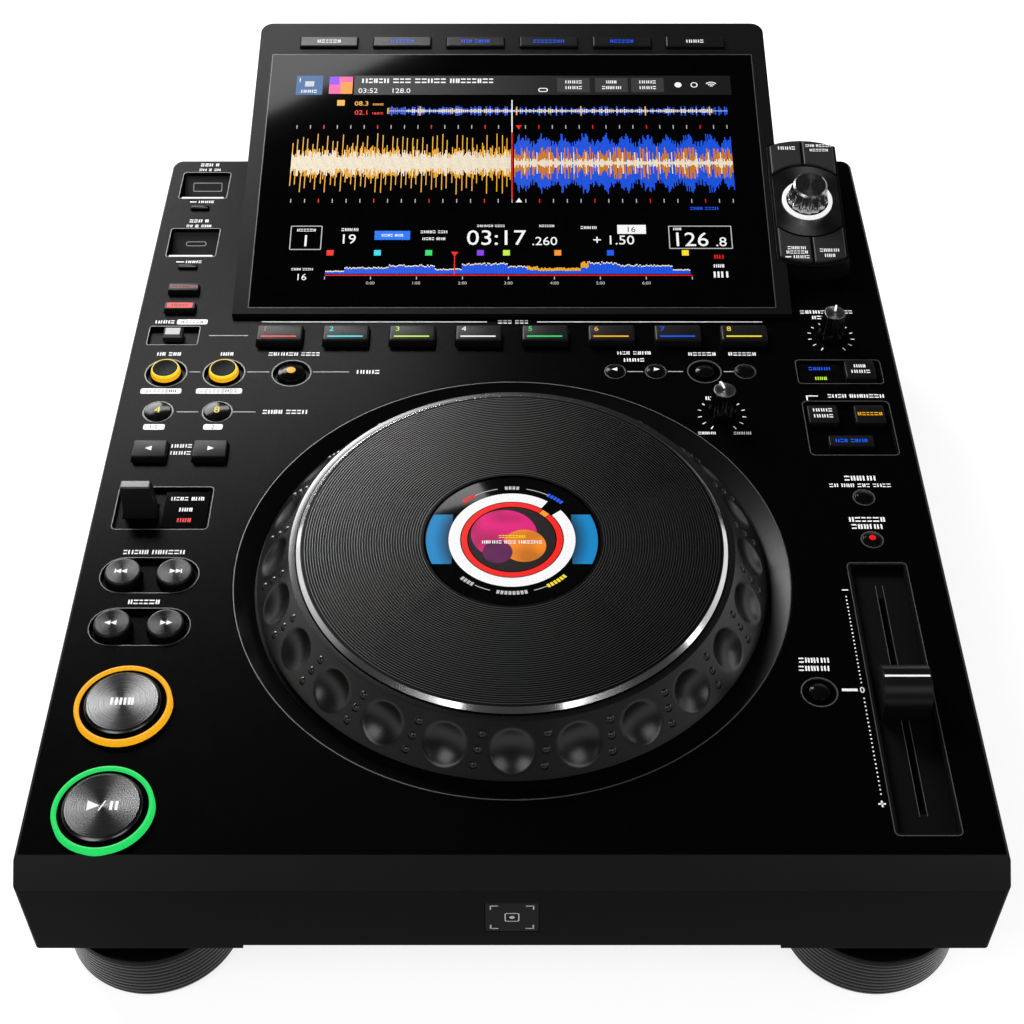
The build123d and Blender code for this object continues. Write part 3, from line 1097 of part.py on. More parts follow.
with BuildPart() as selector_housing:
    add(selector_block(0))
    with BuildSketch(SELECTOR):
        RegularPolygon(PLATE_RADIUS, SELECTOR_SIDES)
        Rectangle(SELECTOR_WIDTH - 2 * SELECTOR_KEY_EDGE, 2 * PLATE_RADIUS, mode=Mode.INTERSECT)
    extrude(amount=PLATE_RISE)
    with BuildSketch(SELECTOR.offset(-SELECTOR_WALL)):
        Rectangle(SELECTOR_WIDTH - 2 * DISPLAY_WALL, 2 * CAVITY_HALF)
    extrude(amount=-DISPLAY_TOP, mode=Mode.SUBTRACT)
    with BuildSketch(SELECTOR):
        add(selector_key_outline(FIT))
    extrude(amount=-SELECTOR_KEY_DEPTH - TRAVEL - FIT, mode=Mode.SUBTRACT)
    with BuildSketch(SELECTOR):
        with Locations(*STEM_PLACES):
            Rectangle(SELECTOR_STEM + 2 * FIT, SELECTOR_STEM + 2 * FIT)
    extrude(amount=-SELECTOR_WALL, mode=Mode.SUBTRACT)
    with BuildSketch(SELECTOR.offset(PLATE_RISE)):
        Circle(ENCODER_RING_RADIUS + FIT)
        Circle(ENCODER_RING_RADIUS - ENCODER_RING - FIT, mode=Mode.SUBTRACT)
    extrude(amount=-RING_SEAT, mode=Mode.SUBTRACT)
    with BuildSketch(SELECTOR.offset(PLATE_RISE)):
        Circle(ENCODER_SHAFT_RADIUS + RUNNING_FIT)
    extrude(amount=-PLATE_RISE - SELECTOR_WALL, mode=Mode.SUBTRACT)
selector_housing.part.label = "selector_housing"
export_step(selector_housing.part, "parts/selector_housing.step")

with BuildPart() as selector_keys:
    with BuildSketch(SELECTOR.offset(-SELECTOR_KEY_DEPTH)):
        add(selector_key_outline(0))
    extrude(amount=SELECTOR_KEY_DEPTH + SELECTOR_KEY_RISE)
    key_tops = selector_keys.faces().group_by(Axis((0, 0, 0), SELECTOR.z_dir))[-1]
    chamfer(key_tops.edges(), KEY_BREAK)
    with BuildSketch(SELECTOR.offset(-SELECTOR_KEY_DEPTH)):
        with Locations(*STEM_PLACES):
            Rectangle(SELECTOR_STEM, SELECTOR_STEM)
    extrude(amount=-SELECTOR_WALL)
selector_keys.part.label = "selector_keys"
export_step(selector_keys.part, "parts/selector_keys.step")

with BuildPart() as encoder_shaft:
    with BuildSketch(SELECTOR.offset(-SELECTOR_WALL - FIT)):
        Circle(ENCODER_SHAFT_RADIUS)
    extrude(amount=SELECTOR_WALL + FIT + KNOB_HEIGHT - KNOB_ROOF)
    with BuildSketch(SELECTOR.offset(-SELECTOR_WALL - FIT)):
        Circle(ENCODER_SHAFT_RADIUS + FLANGE)
    extrude(amount=-FLANGE_THICK)
encoder_shaft.part.label = "encoder_shaft"
export_step(encoder_shaft.part, "parts/encoder_shaft.step")

with BuildPart() as encoder_knob:
    with BuildSketch(SELECTOR.offset(KNOB_FOOT)):
        RegularPolygon(KNOB_BASE_RADIUS, KNOB_SIDES, rotation=180 / KNOB_SIDES)
    extrude(amount=KNOB_ROOF)
    with BuildSketch(SELECTOR.offset(KNOB_FOOT + KNOB_ROOF)):
        RegularPolygon(KNOB_BASE_RADIUS, KNOB_SIDES, rotation=180 / KNOB_SIDES)
    with BuildSketch(SELECTOR.offset(KNOB_HEIGHT)):
        RegularPolygon(KNOB_TOP_RADIUS, KNOB_SIDES, rotation=180 / KNOB_SIDES)
    loft(ruled=True)
    with BuildSketch(SELECTOR.offset(KNOB_FOOT)):
        with PolarLocations(KNOB_BASE_RADIUS, KNOB_FLUTES):
            RegularPolygon(FLUTE_RADIUS, GROOVE_SIDES)
    extrude(amount=KNOB_HEIGHT - KNOB_FOOT - 2 * KNOB_ROOF, mode=Mode.SUBTRACT)
    with BuildSketch(SELECTOR.offset(KNOB_FOOT)):
        Circle(ENCODER_SHAFT_RADIUS + RUNNING_FIT)
    extrude(amount=KNOB_HEIGHT - KNOB_FOOT - KNOB_ROOF, mode=Mode.SUBTRACT)
encoder_knob.part.label = "encoder_knob"
export_step(encoder_knob.part, "parts/encoder_knob.step")

# ---- Rings that light up round the two transport buttons and the encoder ----
with BuildPart() as light_rings:
    with BuildSketch(DECK.offset(-RING_SEAT)):
        with Locations(*RINGS):
            Circle(RING_RADIUS)
            Circle(RING_INNER_RADIUS, mode=Mode.SUBTRACT)
    extrude(amount=RING_SEAT + RING_RISE)
    with BuildSketch(SELECTOR.offset(PLATE_RISE - RING_SEAT)):
        Circle(ENCODER_RING_RADIUS)
        Circle(ENCODER_RING_RADIUS - ENCODER_RING, mode=Mode.SUBTRACT)
    extrude(amount=RING_SEAT)
light_rings.part.label = "light_rings"
export_step(light_rings.part, "parts/light_rings.step")

# ---- Keys and buttons: a cap, and a flange under the deck that keeps it in ----
for name, (places, width, length, rise) in SQUARE_KEYS.items():
    with BuildPart() as key:
        with BuildSketch(DECK.offset(-FLANGE_DEPTH)):
            with Locations(*places):
                Rectangle(width, length)
        extrude(amount=FLANGE_DEPTH + rise)
        chamfer(key.faces().group_by(Axis.Z)[-1].edges(), KEY_BREAK)
        with BuildSketch(DECK.offset(-FLANGE_DEPTH)):
            with Locations(*places):
                Rectangle(width + 2 * FLANGE, length + 2 * FLANGE)
        extrude(amount=-FLANGE_THICK)
    key.part.label = name
    export_step(key.part, f"parts/{name}.step")

for name, (places, radius, rise) in ROUND_BUTTONS.items():
    with BuildPart() as button:
        with BuildSketch(DECK.offset(-FLANGE_DEPTH)):
            with Locations(*places):
                RegularPolygon(radius, BUTTON_SIDES, major_radius=False)
        extrude(amount=FLANGE_DEPTH + rise)
        chamfer(button.faces().group_by(Axis.Z)[-1].edges(), KEY_BREAK)
        with BuildSketch(DECK.offset(-FLANGE_DEPTH)):
            with Locations(*places):
                RegularPolygon(radius + FIT + FLANGE, FLANGE_SIDES, rotation=180 / FLANGE_SIDES)
        extrude(amount=-FLANGE_THICK)
    button.part.label = name
    export_step(button.part, f"parts/{name}.step")

# ---- Dials: tapered, fluted knobs on shafts through the deck ----
for name, (x, y) in DIALS.items():
    dial_foot = DECK.from_local_coords((x, y, FIT))
    with BuildPart() as dial:
        with BuildSketch(Plane(dial_foot)):
            RegularPolygon(DIAL_RADIUS, KNOB_SIDES, rotation=180 / KNOB_SIDES)
        with BuildSketch(Plane(dial_foot).offset(DIAL_RISE)):
            RegularPolygon(DIAL_TOP_RADIUS, KNOB_SIDES, rotation=180 / KNOB_SIDES)
        loft(ruled=True)
        with BuildSketch(Plane(dial_foot)):
            with PolarLocations(DIAL_RADIUS, DIAL_FLUTES):
                RegularPolygon(DIAL_FLUTE_RADIUS, GROOVE_SIDES)
        extrude(amount=DIAL_RISE - 2 * POINTER_RISE, mode=Mode.SUBTRACT)
        with BuildSketch(Plane(dial_foot).offset(DIAL_RISE)):
            with Locations((0, DIAL_TOP_RADIUS / 2)):
                Rectangle(POINTER_WIDTH, DIAL_TOP_RADIUS)
        extrude(amount=POINTER_RISE)
        with BuildSketch(Plane(dial_foot)):
            Circle(DIAL_SHAFT_RADIUS)
        extrude(amount=-BOARD_TOP)
    dial.part.label = name
    export_step(dial.part, f"parts/{name}.step")

# ---- Levers, on pins in the ears under the deck ----
with BuildPart() as direction_lever:
    with BuildSketch(FASCIA.offset(-FASCIA_SET - DIRECTION_Y)):
        with BuildLine():
            Polyline(
                (PADDLE_X - PADDLE_WIDTH / 2, -PIVOT_DEPTH),
                (PADDLE_X - PADDLE_WIDTH / 2, 0),
                (PADDLE_X - PADDLE_TOP_WIDTH / 2, PADDLE_RISE),
                (PADDLE_X + PADDLE_TOP_WIDTH / 2, PADDLE_RISE),
                (PADDLE_X + PADDLE_WIDTH / 2, 0),
                (PADDLE_X + PADDLE_WIDTH / 2, -PIVOT_DEPTH),
                close=True,
            )
        make_face()
    extrude(amount=PADDLE_THICK / 2, both=True)
    chamfer(direction_lever.faces().sort_by(Axis.Z)[-1].edges(), KEY_BREAK)
    with BuildSketch(SIDE.offset(PADDLE_X)):
        with Locations((DIRECTION_Y, -PIVOT_DEPTH)):
            Circle(PADDLE_THICK / 2)
    extrude(amount=PADDLE_WIDTH / 2, both=True)
    with BuildSketch(SIDE.offset(PADDLE_X)):
        with Locations((DIRECTION_Y, -PIVOT_DEPTH)):
            Circle(PIVOT_RADIUS)
    extrude(amount=PADDLE_WIDTH / 2 + FIT + EAR, both=True)
direction_lever.part.label = "direction_lever"
export_step(direction_lever.part, "parts/direction_lever.step")

with BuildPart() as call_delete_lever:
    with BuildSketch(DECK.offset(-PIVOT_DEPTH)):
        with Locations((CALL_LEVER_X, CALL_LEVER_Y)):
            Rectangle(CALL_STEM, CALL_STEM)
    extrude(amount=PIVOT_DEPTH)
    with BuildSketch(DECK.offset(-RECESS / 2)):
        with Locations((CALL_LEVER_X, CALL_LEVER_Y)):
            Rectangle(CALL_KNOB_WIDTH, CALL_KNOB_LENGTH)
    extrude(amount=RECESS / 2 + CALL_KNOB_RISE)
    chamfer(call_delete_lever.faces().sort_by(Axis.Z)[-1].edges(), 2 * KEY_BREAK)
    with BuildSketch(FASCIA.offset(-FASCIA_SET - CALL_LEVER_Y)):
        with Locations((CALL_LEVER_X, -PIVOT_DEPTH)):
            Circle(CALL_STEM / 2 + KEY_BREAK)
    extrude(amount=CALL_STEM / 2, both=True)
    with BuildSketch(FASCIA.offset(-FASCIA_SET - CALL_LEVER_Y)):
        with Locations((CALL_LEVER_X, -PIVOT_DEPTH)):
            Circle(PIVOT_RADIUS)
    extrude(amount=CALL_STEM / 2 + FIT + EAR, both=True)
call_delete_lever.part.label = "call_delete_lever"
export_step(call_delete_lever.part, "parts/call_delete_lever.step")

# ---- Tempo fader: a trough let into the deck over a slide potentiometer ----
with BuildPart() as fader_track:
    with BuildSketch(DECK):
        with Locations((FADER_X, TROUGH_Y)):
            Rectangle(TROUGH_WIDTH, TROUGH_LENGTH)
    extrude(amount=-DECK_WALL)
    with BuildSketch(DECK.offset(-DECK_WALL)):
        with Locations((FADER_X, TROUGH_Y)):
            Rectangle(TROUGH_WIDTH + 2 * TROUGH_FLANGE, TROUGH_LENGTH + 2 * TROUGH_FLANGE)
    extrude(amount=-TROUGH_FLANGE)
    with BuildSketch(DECK.offset(-DECK_WALL - TROUGH_FLANGE)):
        with Locations((FADER_X, FADER_Y)):
            Rectangle(FADER_POT_WIDTH, FADER_POT_LENGTH)
    extrude(amount=-FADER_POT_DEPTH)
    with BuildSketch(DECK):
        with Locations((FADER_X, TROUGH_Y)):
            Rectangle(TROUGH_WIDTH - 2 * TROUGH_RIM, TROUGH_LENGTH - 2 * TROUGH_RIM)
    extrude(amount=-TROUGH_DEPTH, mode=Mode.SUBTRACT)
    with BuildSketch(DECK):
        with Locations((FADER_X, FADER_Y)):
            Rectangle(FADER_SLOT, FADER_SLOT_LENGTH)
    extrude(amount=-DECK_WALL - TROUGH_FLANGE - FADER_POT_DEPTH + FADER_POT_WALL, mode=Mode.SUBTRACT)
fader_track.part.label = "fader_track"
export_step(fader_track.part, "parts/fader_track.step")

CAP_UNDERSIDE = FIT - TROUGH_DEPTH
CAP_HALF = FADER_CAP_LENGTH / 2
RIDGE_HALF = FADER_CAP_RIDGE / 2

with BuildPart() as tempo_fader_cap:
    with BuildSketch(SIDE.offset(FADER_X)):
        with BuildLine():
            Polyline(
                (FADER_Y - CAP_HALF, FADER_CAP_FOOT),
                (FADER_Y - CAP_HALF, CAP_UNDERSIDE),
                (FADER_Y + CAP_HALF, CAP_UNDERSIDE),
                (FADER_Y + CAP_HALF, FADER_CAP_FOOT),
            )
            RadiusArc(
                (FADER_Y + CAP_HALF, FADER_CAP_FOOT),
                (FADER_Y + RIDGE_HALF, FADER_CAP_RISE),
                -FADER_CAP_HOLLOW,
            )
            Line((FADER_Y + RIDGE_HALF, FADER_CAP_RISE), (FADER_Y - RIDGE_HALF, FADER_CAP_RISE))
            RadiusArc(
                (FADER_Y - RIDGE_HALF, FADER_CAP_RISE),
                (FADER_Y - CAP_HALF, FADER_CAP_FOOT),
                -FADER_CAP_HOLLOW,
            )
        make_face()
    extrude(amount=FADER_CAP_WIDTH / 2, both=True)
    with BuildSketch(DECK.offset(CAP_UNDERSIDE)):
        with Locations((FADER_X, FADER_Y)):
            Rectangle(FADER_STEM, FADER_STEM_LENGTH)
    extrude(amount=-FADER_STEM_DEPTH)
tempo_fader_cap.part.label = "tempo_fader_cap"
export_step(tempo_fader_cap.part, "parts/tempo_fader_cap.step")

# ---- Ports for memory sticks, and the gloss windows ----
with BuildPart() as usb_ports:
    for x, y in USB_PLACES:
        port = (x, y - USB_LENGTH / 4)
        with BuildSketch(DECK.offset(-USB_DEPTH)):
            with Locations(port):
                Rectangle(PORT_WIDTH, PORT_HEIGHT)
        extrude(amount=-PORT_LENGTH)
        with BuildSketch(DECK.offset(-USB_DEPTH)):
            with Locations(port):
                Rectangle(PORT_WIDTH - 2 * PORT_WALL, PORT_HEIGHT - 2 * PORT_WALL)
                Rectangle(PORT_WIDTH - 4 * PORT_WALL, PORT_TONGUE, mode=Mode.SUBTRACT)
        extrude(amount=PORT_WALL - PORT_LENGTH, mode=Mode.SUBTRACT)
usb_ports.part.label = "usb_ports"
export_step(usb_ports.part, "parts/usb_ports.step")

with BuildPart() as gloss_windows:
    with BuildSketch(FASCIA.offset(-WINDOW)):
        with Locations((0, -FRONT_WINDOW_DROP)):
            Rectangle(FRONT_WINDOW, FRONT_WINDOW)
    extrude(amount=WINDOW)
    with BuildSketch(DECK.offset(-RECESS)):
        with Locations((DIRECTION_WINDOW_X, DIRECTION_Y)):
            Rectangle(DIRECTION_WINDOW_WIDTH, DIRECTION_WINDOW_LENGTH)
        with Locations((MODE_WINDOW_X, JOG_MODE_Y)):
            Rectangle(MODE_WINDOW_WIDTH, MODE_WINDOW_LENGTH)
    extrude(amount=WINDOW)
gloss_windows.part.label = "gloss_windows"
export_step(gloss_windows.part, "parts/gloss_windows.step")
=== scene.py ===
"""Looks of a tabletop player for DJs: a black deck, a large jog wheel, a tilted display, keys, dials and a fader.

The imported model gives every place. Shapes are made in millimetres on the surface that carries them, and a
Surface turns them into metres in the model's own frame. Each sub-assembly is a class with its sizes as fields.
"""

import logging
import random
from dataclasses import dataclass, field
from enum import Enum
from itertools import pairwise
from math import atan2, cos, hypot, pi, radians, sin, tau
from typing import Iterable, Sequence

import bmesh
import bpy
from mathutils import Matrix, Vector


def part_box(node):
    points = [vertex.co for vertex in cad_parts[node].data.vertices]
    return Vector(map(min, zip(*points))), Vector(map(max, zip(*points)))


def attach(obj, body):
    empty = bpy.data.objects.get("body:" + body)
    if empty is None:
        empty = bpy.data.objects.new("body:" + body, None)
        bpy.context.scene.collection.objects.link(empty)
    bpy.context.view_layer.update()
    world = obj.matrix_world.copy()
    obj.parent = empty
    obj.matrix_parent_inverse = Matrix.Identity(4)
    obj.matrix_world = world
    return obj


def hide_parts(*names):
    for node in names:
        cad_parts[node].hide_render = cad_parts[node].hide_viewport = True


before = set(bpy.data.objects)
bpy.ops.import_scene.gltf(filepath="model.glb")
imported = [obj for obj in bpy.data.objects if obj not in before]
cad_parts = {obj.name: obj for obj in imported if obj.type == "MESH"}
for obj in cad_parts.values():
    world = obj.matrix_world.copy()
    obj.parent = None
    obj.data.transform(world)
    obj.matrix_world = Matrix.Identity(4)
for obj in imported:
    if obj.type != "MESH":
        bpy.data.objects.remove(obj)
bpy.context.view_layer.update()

log = logging.getLogger("player")

MM = 0.001
HAIR = 0.05  # thickness of ink and of lit shapes, in millimetres
CAP_FOOT = -1.8  # height of the round caps' undersides against the deck, in millimetres
KEY_FOOT = -2.2  # the same for the square keys
CHASSIS = "chassis"
JOG_BODY = "jog_wheel"

Shape = bmesh.types.BMesh
Socket = bpy.types.NodeSocket
Colour = tuple[float, float, float]
Place = tuple[float, float]
Block = tuple[float, float, float, float]  # middle and size: (u, v, width, length)
Figure = tuple[str, float, float, float]  # text, place and height: (text, u, v, height)


def grey(level: float) -> Colour:
    """A neutral colour of that linear level."""
    return (level, level, level)


def scaled(colour: Colour, factor: float) -> Colour:
    """The colour, made darker or brighter by that factor."""
    return tuple(level * factor for level in colour)


# ---- surfaces


@dataclass(frozen=True)
class Surface:
    """A flat face of the player that carries pieces placed in millimetres.

    Attributes:
        origin: A point on the face, in metres.
        across: Direction of the first place value.
        along: Direction of the second place value.
    """

    origin: Vector
    across: Vector
    along: Vector

    @property
    def out(self) -> Vector:
        """Direction that points out of the face."""
        return self.across.cross(self.along)

    def point(self, u: float, v: float, rise: float = 0.0) -> Vector:
        """A point of the model's frame, in metres, from millimetres on the face."""
        return self.origin + (self.across * u + self.along * v + self.out * rise) * MM

    def place(self, u: float = 0.0, v: float = 0.0, rise: float = 0.0, turn: float = 0.0) -> Matrix:
        """The matrix that seats a shape made in millimetres.

        Args:
            u: Place across the face.
            v: Place along the face.
            rise: Height above the face.
            turn: Turn about the face's own normal, in radians.

        Returns:
            Matrix from the shape's millimetres to the frame's metres.
        """
        axes = Matrix((self.across, self.along, self.out)).transposed().to_4x4()
        turned = Matrix.Rotation(turn, 4, "Z") @ Matrix.Scale(MM, 4)
        return Matrix.Translation(self.point(u, v, rise)) @ axes @ turned

    def moved(self, u: float, v: float, rise: float = 0.0) -> "Surface":
        """The same face seen from another starting point."""
        return Surface(self.point(u, v, rise), self.across, self.along)


FASCIA_SET = 5.2  # the front face stands this far before the deck's front edge, in millimetres
DISPLAY_TILT = radians(12.94)
DISPLAY_FRONT = 279.1
DISPLAY_LIP = 2.3
SELECTOR_PLACE = (135.3, 64.3)  # from the middle of the display's front rim
REAR_INSET = 4.0
DECK_DEPTH = 399.0
JOG_Y = 131.1

X_AXIS = Vector((1, 0, 0))
SLOPE = Vector((0, cos(DISPLAY_TILT), sin(DISPLAY_TILT)))
DECK_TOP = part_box("deck_cover")[1].z
FRONT_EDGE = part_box("deck_cover")[0].y + FASCIA_SET * MM

DECK = Surface(Vector((0, FRONT_EDGE, DECK_TOP)), X_AXIS, Vector((0, 1, 0)))
DISPLAY = Surface(DECK.point(0, DISPLAY_FRONT, DISPLAY_LIP), X_AXIS, SLOPE)
SELECTOR = DISPLAY.moved(*SELECTOR_PLACE)
JOG = DECK.moved(0, JOG_Y)
FASCIA = Surface(DECK.point(0, -FASCIA_SET), X_AXIS, Vector((0, 0, 1)))
REAR = Surface(DECK.point(0, DECK_DEPTH - REAR_INSET), -X_AXIS, Vector((0, 0, 1)))
FLOOR = Surface(Vector((0, FRONT_EDGE, 0)), X_AXIS, Vector((0, 1, 0)))


# ---- finishes


class Nodes:
    """One material with a Principled shader, and short ways to add nodes to it."""

    def __init__(self, name: str) -> None:
        """Starts an empty material.

        Args:
            name: The material's name.
        """
        self.material = bpy.data.materials.new(name)
        self.material.use_nodes = True
        self.tree = self.material.node_tree
        self.tree.nodes.clear()
        self.shader = self.add("ShaderNodeBsdfPrincipled")
        output = self.add("ShaderNodeOutputMaterial")
        self.join(self.shader.outputs["BSDF"], output.inputs["Surface"])
        self.where = self.add("ShaderNodeTexCoord").outputs["Object"]

    def add(self, kind: str, **values: float) -> bpy.types.Node:
        """Adds a node and sets its inputs.

        Args:
            kind: The node's type name.
            **values: Input values, by the input's name with _ for a space.

        Returns:
            The new node.
        """
        node = self.tree.nodes.new(kind)
        for name, value in values.items():
            node.inputs[name.replace("_", " ")].default_value = value
        return node

    def join(self, source: Socket, target: Socket) -> None:
        """Links an output to an input."""
        self.tree.links.new(source, target)

    def set(self, **values: float | Colour) -> None:
        """Sets inputs of the shader itself.

        Args:
            **values: Input values, by the input's name with _ for a space.
        """
        for name, value in values.items():
            full = (*value, 1.0) if isinstance(value, tuple) else value
            self.shader.inputs[name.replace("_", " ")].default_value = full

    def noise(self, grain: float, detail: float = 2.0) -> Socket:
        """A noise over the piece.

        Args:
            grain: Size of one blot, in millimetres.
            detail: Octaves of finer noise.

        Returns:
            The noise's value, from 0 to 1.
        """
        node = self.add("ShaderNodeTexNoise", Scale=1 / (grain * MM), Detail=detail, Roughness=0.6)
        self.join(self.where, node.inputs["Vector"])
        return node.outputs["Fac"]

    def ramp(self, source: Socket, low: Colour, high: Colour, start: float = 0.0, end: float = 1.0) -> Socket:
        """Turns a value into a colour between two colours.

        Args:
            source: The value.
            low: Colour at the start.
            high: Colour at the end.
            start: Value at which the low colour ends.
            end: Value at which the high colour begins.

        Returns:
            The colour.
        """
        node = self.tree.nodes.new("ShaderNodeValToRGB")
        first, last = node.color_ramp.elements
        first.position, last.position = start, end
        first.color, last.color = (*low, 1.0), (*high, 1.0)
        self.join(source, node.inputs["Fac"])
        return node.outputs["Color"]

    def spread(self, source: Socket, low: float, high: float) -> Socket:
        """Maps a value from 0 to 1 onto another range."""
        node = self.add("ShaderNodeMapRange", To_Min=low, To_Max=high)
        self.join(source, node.inputs["Value"])
        return node.outputs["Result"]

    def vector(self, operation: str, *values: Socket | Vector) -> Socket:
        """Calculates with vectors.

        Args:
            operation: What to do, by Blender's name.
            *values: Outputs or fixed vectors, in the order of the inputs.

        Returns:
            The result.
        """
        node = self.tree.nodes.new("ShaderNodeVectorMath")
        node.operation = operation
        for target, value in zip(node.inputs, values):
            if isinstance(value, Vector):
                target.default_value = value
            else:
                self.join(value, target)
        return node.outputs["Value" if operation in ("LENGTH", "DISTANCE") else "Vector"]

    def skin(self, level: Socket, colours: tuple[Colour, Colour], ends: Place) -> None:
        """Colours the shader by a value.

        Args:
            level: The value.
            colours: Colour at its low and at its high end.
            ends: The values of those ends.
        """
        self.join(self.ramp(level, *colours, *ends), self.shader.inputs["Base Color"])

    def wear(self, level: Socket, roughness: float, low: float, high: float) -> None:
        """Varies the roughness by a value, between two factors."""
        self.join(self.spread(level, low * roughness, high * roughness), self.shader.inputs["Roughness"])

    def bump(self, height: Socket, depth: float, rounding: float = 0.0) -> None:
        """Gives the surface a relief, over edges that catch the light.

        Args:
            height: The relief, from 0 to 1.
            depth: Its full height, in millimetres.
            rounding: Radius of the softened edges, in millimetres, or 0.
        """
        node = self.add("ShaderNodeBump", Strength=1.0, Distance=depth * MM)
        self.join(height, node.inputs["Height"])
        if rounding:
            edge = self.add("ShaderNodeBevel", Radius=rounding * MM)
            edge.samples = 4
            self.join(edge.outputs["Normal"], node.inputs["Normal"])
        self.join(node.outputs["Normal"], self.shader.inputs["Normal"])


@dataclass(frozen=True)
class Finish:
    """What every finish has.

    Attributes:
        name: Plain name of the finish.
        colour: Main colour, linear.
        roughness: Mean roughness.
    """

    name: str
    colour: Colour
    roughness: float = 0.4

    def material(self) -> bpy.types.Material:
        """The finish as a Blender material, made once."""
        known = bpy.data.materials.get(self.name)
        if known:
            return known
        nodes = Nodes(self.name)
        self.mix(nodes)
        return nodes.material

    def mix(self, nodes: Nodes) -> None:
        """Builds the shader; each finish has its own."""
        raise NotImplementedError


@dataclass(frozen=True)
class Plastic(Finish):
    """Moulded plastic or rubber with a fine grain.

    Attributes:
        sheen: Specular level, 0.5 for common plastic.
        grain: Size of the grain, in millimetres.
        relief: Height of the grain, in millimetres.
        mottle: Share by which the colour varies.
        rounding: Radius of the softened edges, in millimetres.
    """

    sheen: float = 0.3
    grain: float = 0.5
    relief: float = 0.01
    mottle: float = 0.2
    rounding: float = 0.0

    def mix(self, nodes: Nodes) -> None:
        """Mottled colour, uneven roughness and a grain in relief."""
        nodes.set(Specular_IOR_Level=self.sheen)
        speck = nodes.noise(self.grain)
        colours = scaled(self.colour, 1 - self.mottle), scaled(self.colour, 1 + self.mottle)
        nodes.skin(speck, colours, (0.35, 0.65))
        nodes.wear(nodes.noise(40 * self.grain), self.roughness, 0.92, 1.08)
        nodes.bump(speck, self.relief, self.rounding)


@dataclass(frozen=True)
class Metal(Finish):
    """Metal with a fine grain.

    Attributes:
        grain: Size of the grain, in millimetres.
        relief: Height of the grain, in millimetres.
        rounding: Radius of the softened edges, in millimetres.
    """

    grain: float = 0.25
    relief: float = 0.002
    rounding: float = 0.0

    def mix(self, nodes: Nodes) -> None:
        """A metallic shader with a speckled colour and an uneven polish."""
        nodes.set(Metallic=1.0)
        speck = nodes.noise(self.grain)
        nodes.skin(speck, (scaled(self.colour, 0.88), self.colour), (0.3, 0.7))
        nodes.wear(speck, self.roughness, 0.85, 1.15)
        nodes.bump(speck, self.relief, self.rounding)


@dataclass(frozen=True)
class SpunAt(Finish):
    """Metal turned on a lathe: fine rings round a middle, and highlights that fan out from it.

    Attributes:
        middle: The middle of the turning, in metres.
        out: Direction of its axis.
        stretch: Anisotropy of the highlight.
        line: Width of one ring, in millimetres.
        relief: Height of the rings, in millimetres.
    """

    middle: Vector = field(default_factory=Vector)
    out: Vector = field(default_factory=lambda: Vector((0, 0, 1)))
    stretch: float = 0.85
    line: float = 0.22
    relief: float = 0.003

    def mix(self, nodes: Nodes) -> None:
        """Rings from the distance to the middle, and a tangent that runs round it."""
        nodes.set(Metallic=1.0, Anisotropic=self.stretch)
        offset = nodes.vector("SUBTRACT", nodes.where, self.middle)
        rings = nodes.tree.nodes.new("ShaderNodeTexNoise")
        rings.noise_dimensions = "1D"
        rings.inputs["Scale"].default_value = 1 / (self.line * MM)
        nodes.join(nodes.vector("LENGTH", offset), rings.inputs["W"])
        level = rings.outputs["Fac"]
        nodes.skin(level, (scaled(self.colour, 0.72), self.colour), (0.35, 0.65))
        nodes.wear(level, self.roughness, 0.85, 1.15)
        nodes.bump(level, self.relief)
        along = nodes.vector("CROSS_PRODUCT", self.out, offset)
        nodes.join(nodes.vector("NORMALIZE", along), nodes.shader.inputs["Tangent"])


@dataclass(frozen=True)
class Lit(Finish):
    """A lens or a picture element that glows.

    Attributes:
        glow: Strength of the light.
        cell: Size of the bright cells, in millimetres.
        shade: Brightness between the cells.
        unlit: Brightness of the bare lens.
    """

    glow: float = 1.0
    cell: float = 0.5
    shade: float = 0.85
    unlit: float = 0.06

    def mix(self, nodes: Nodes) -> None:
        """Light under a glossy skin."""
        nodes.set(Specular_IOR_Level=0.12, Roughness=self.roughness, Emission_Strength=self.glow)
        nodes.join(self.light(nodes), nodes.shader.inputs["Emission Color"])
        nodes.set(Base_Color=scaled(self.colour, self.unlit))

    def light(self, nodes: Nodes) -> Socket:
        """The light's colour, a little uneven from cell to cell."""
        return nodes.ramp(nodes.noise(self.cell, detail=0.0), scaled(self.colour, self.shade), self.colour, 0.3, 0.7)


@dataclass(frozen=True)
class Fade(Lit):
    """A lit pane that grows brighter from one radius to another.

    Attributes:
        inner: Radius at which it is dark, in millimetres.
        outer: Radius at which it is bright, in millimetres.
        middle: The middle of the radii, in metres.
    """

    inner: float = 0.0
    outer: float = 1.0
    middle: Vector = field(default_factory=Vector)

    def light(self, nodes: Nodes) -> Socket:
        """The light's colour by the distance from the middle."""
        share = nodes.add("ShaderNodeMapRange", From_Min=self.inner * MM, From_Max=self.outer * MM)
        nodes.join(nodes.vector("DISTANCE", nodes.where, self.middle), share.inputs["Value"])
        return nodes.ramp(share.outputs["Result"], scaled(self.colour, self.unlit), self.colour)


@dataclass(frozen=True)
class Ink(Finish):
    """Print on plastic: thin, matte and a little uneven."""

    def mix(self, nodes: Nodes) -> None:
        """A matte colour with faint blots."""
        nodes.set(Specular_IOR_Level=0.2, Roughness=self.roughness)
        nodes.skin(nodes.noise(0.8), (scaled(self.colour, 0.86), self.colour), (0.3, 0.6))


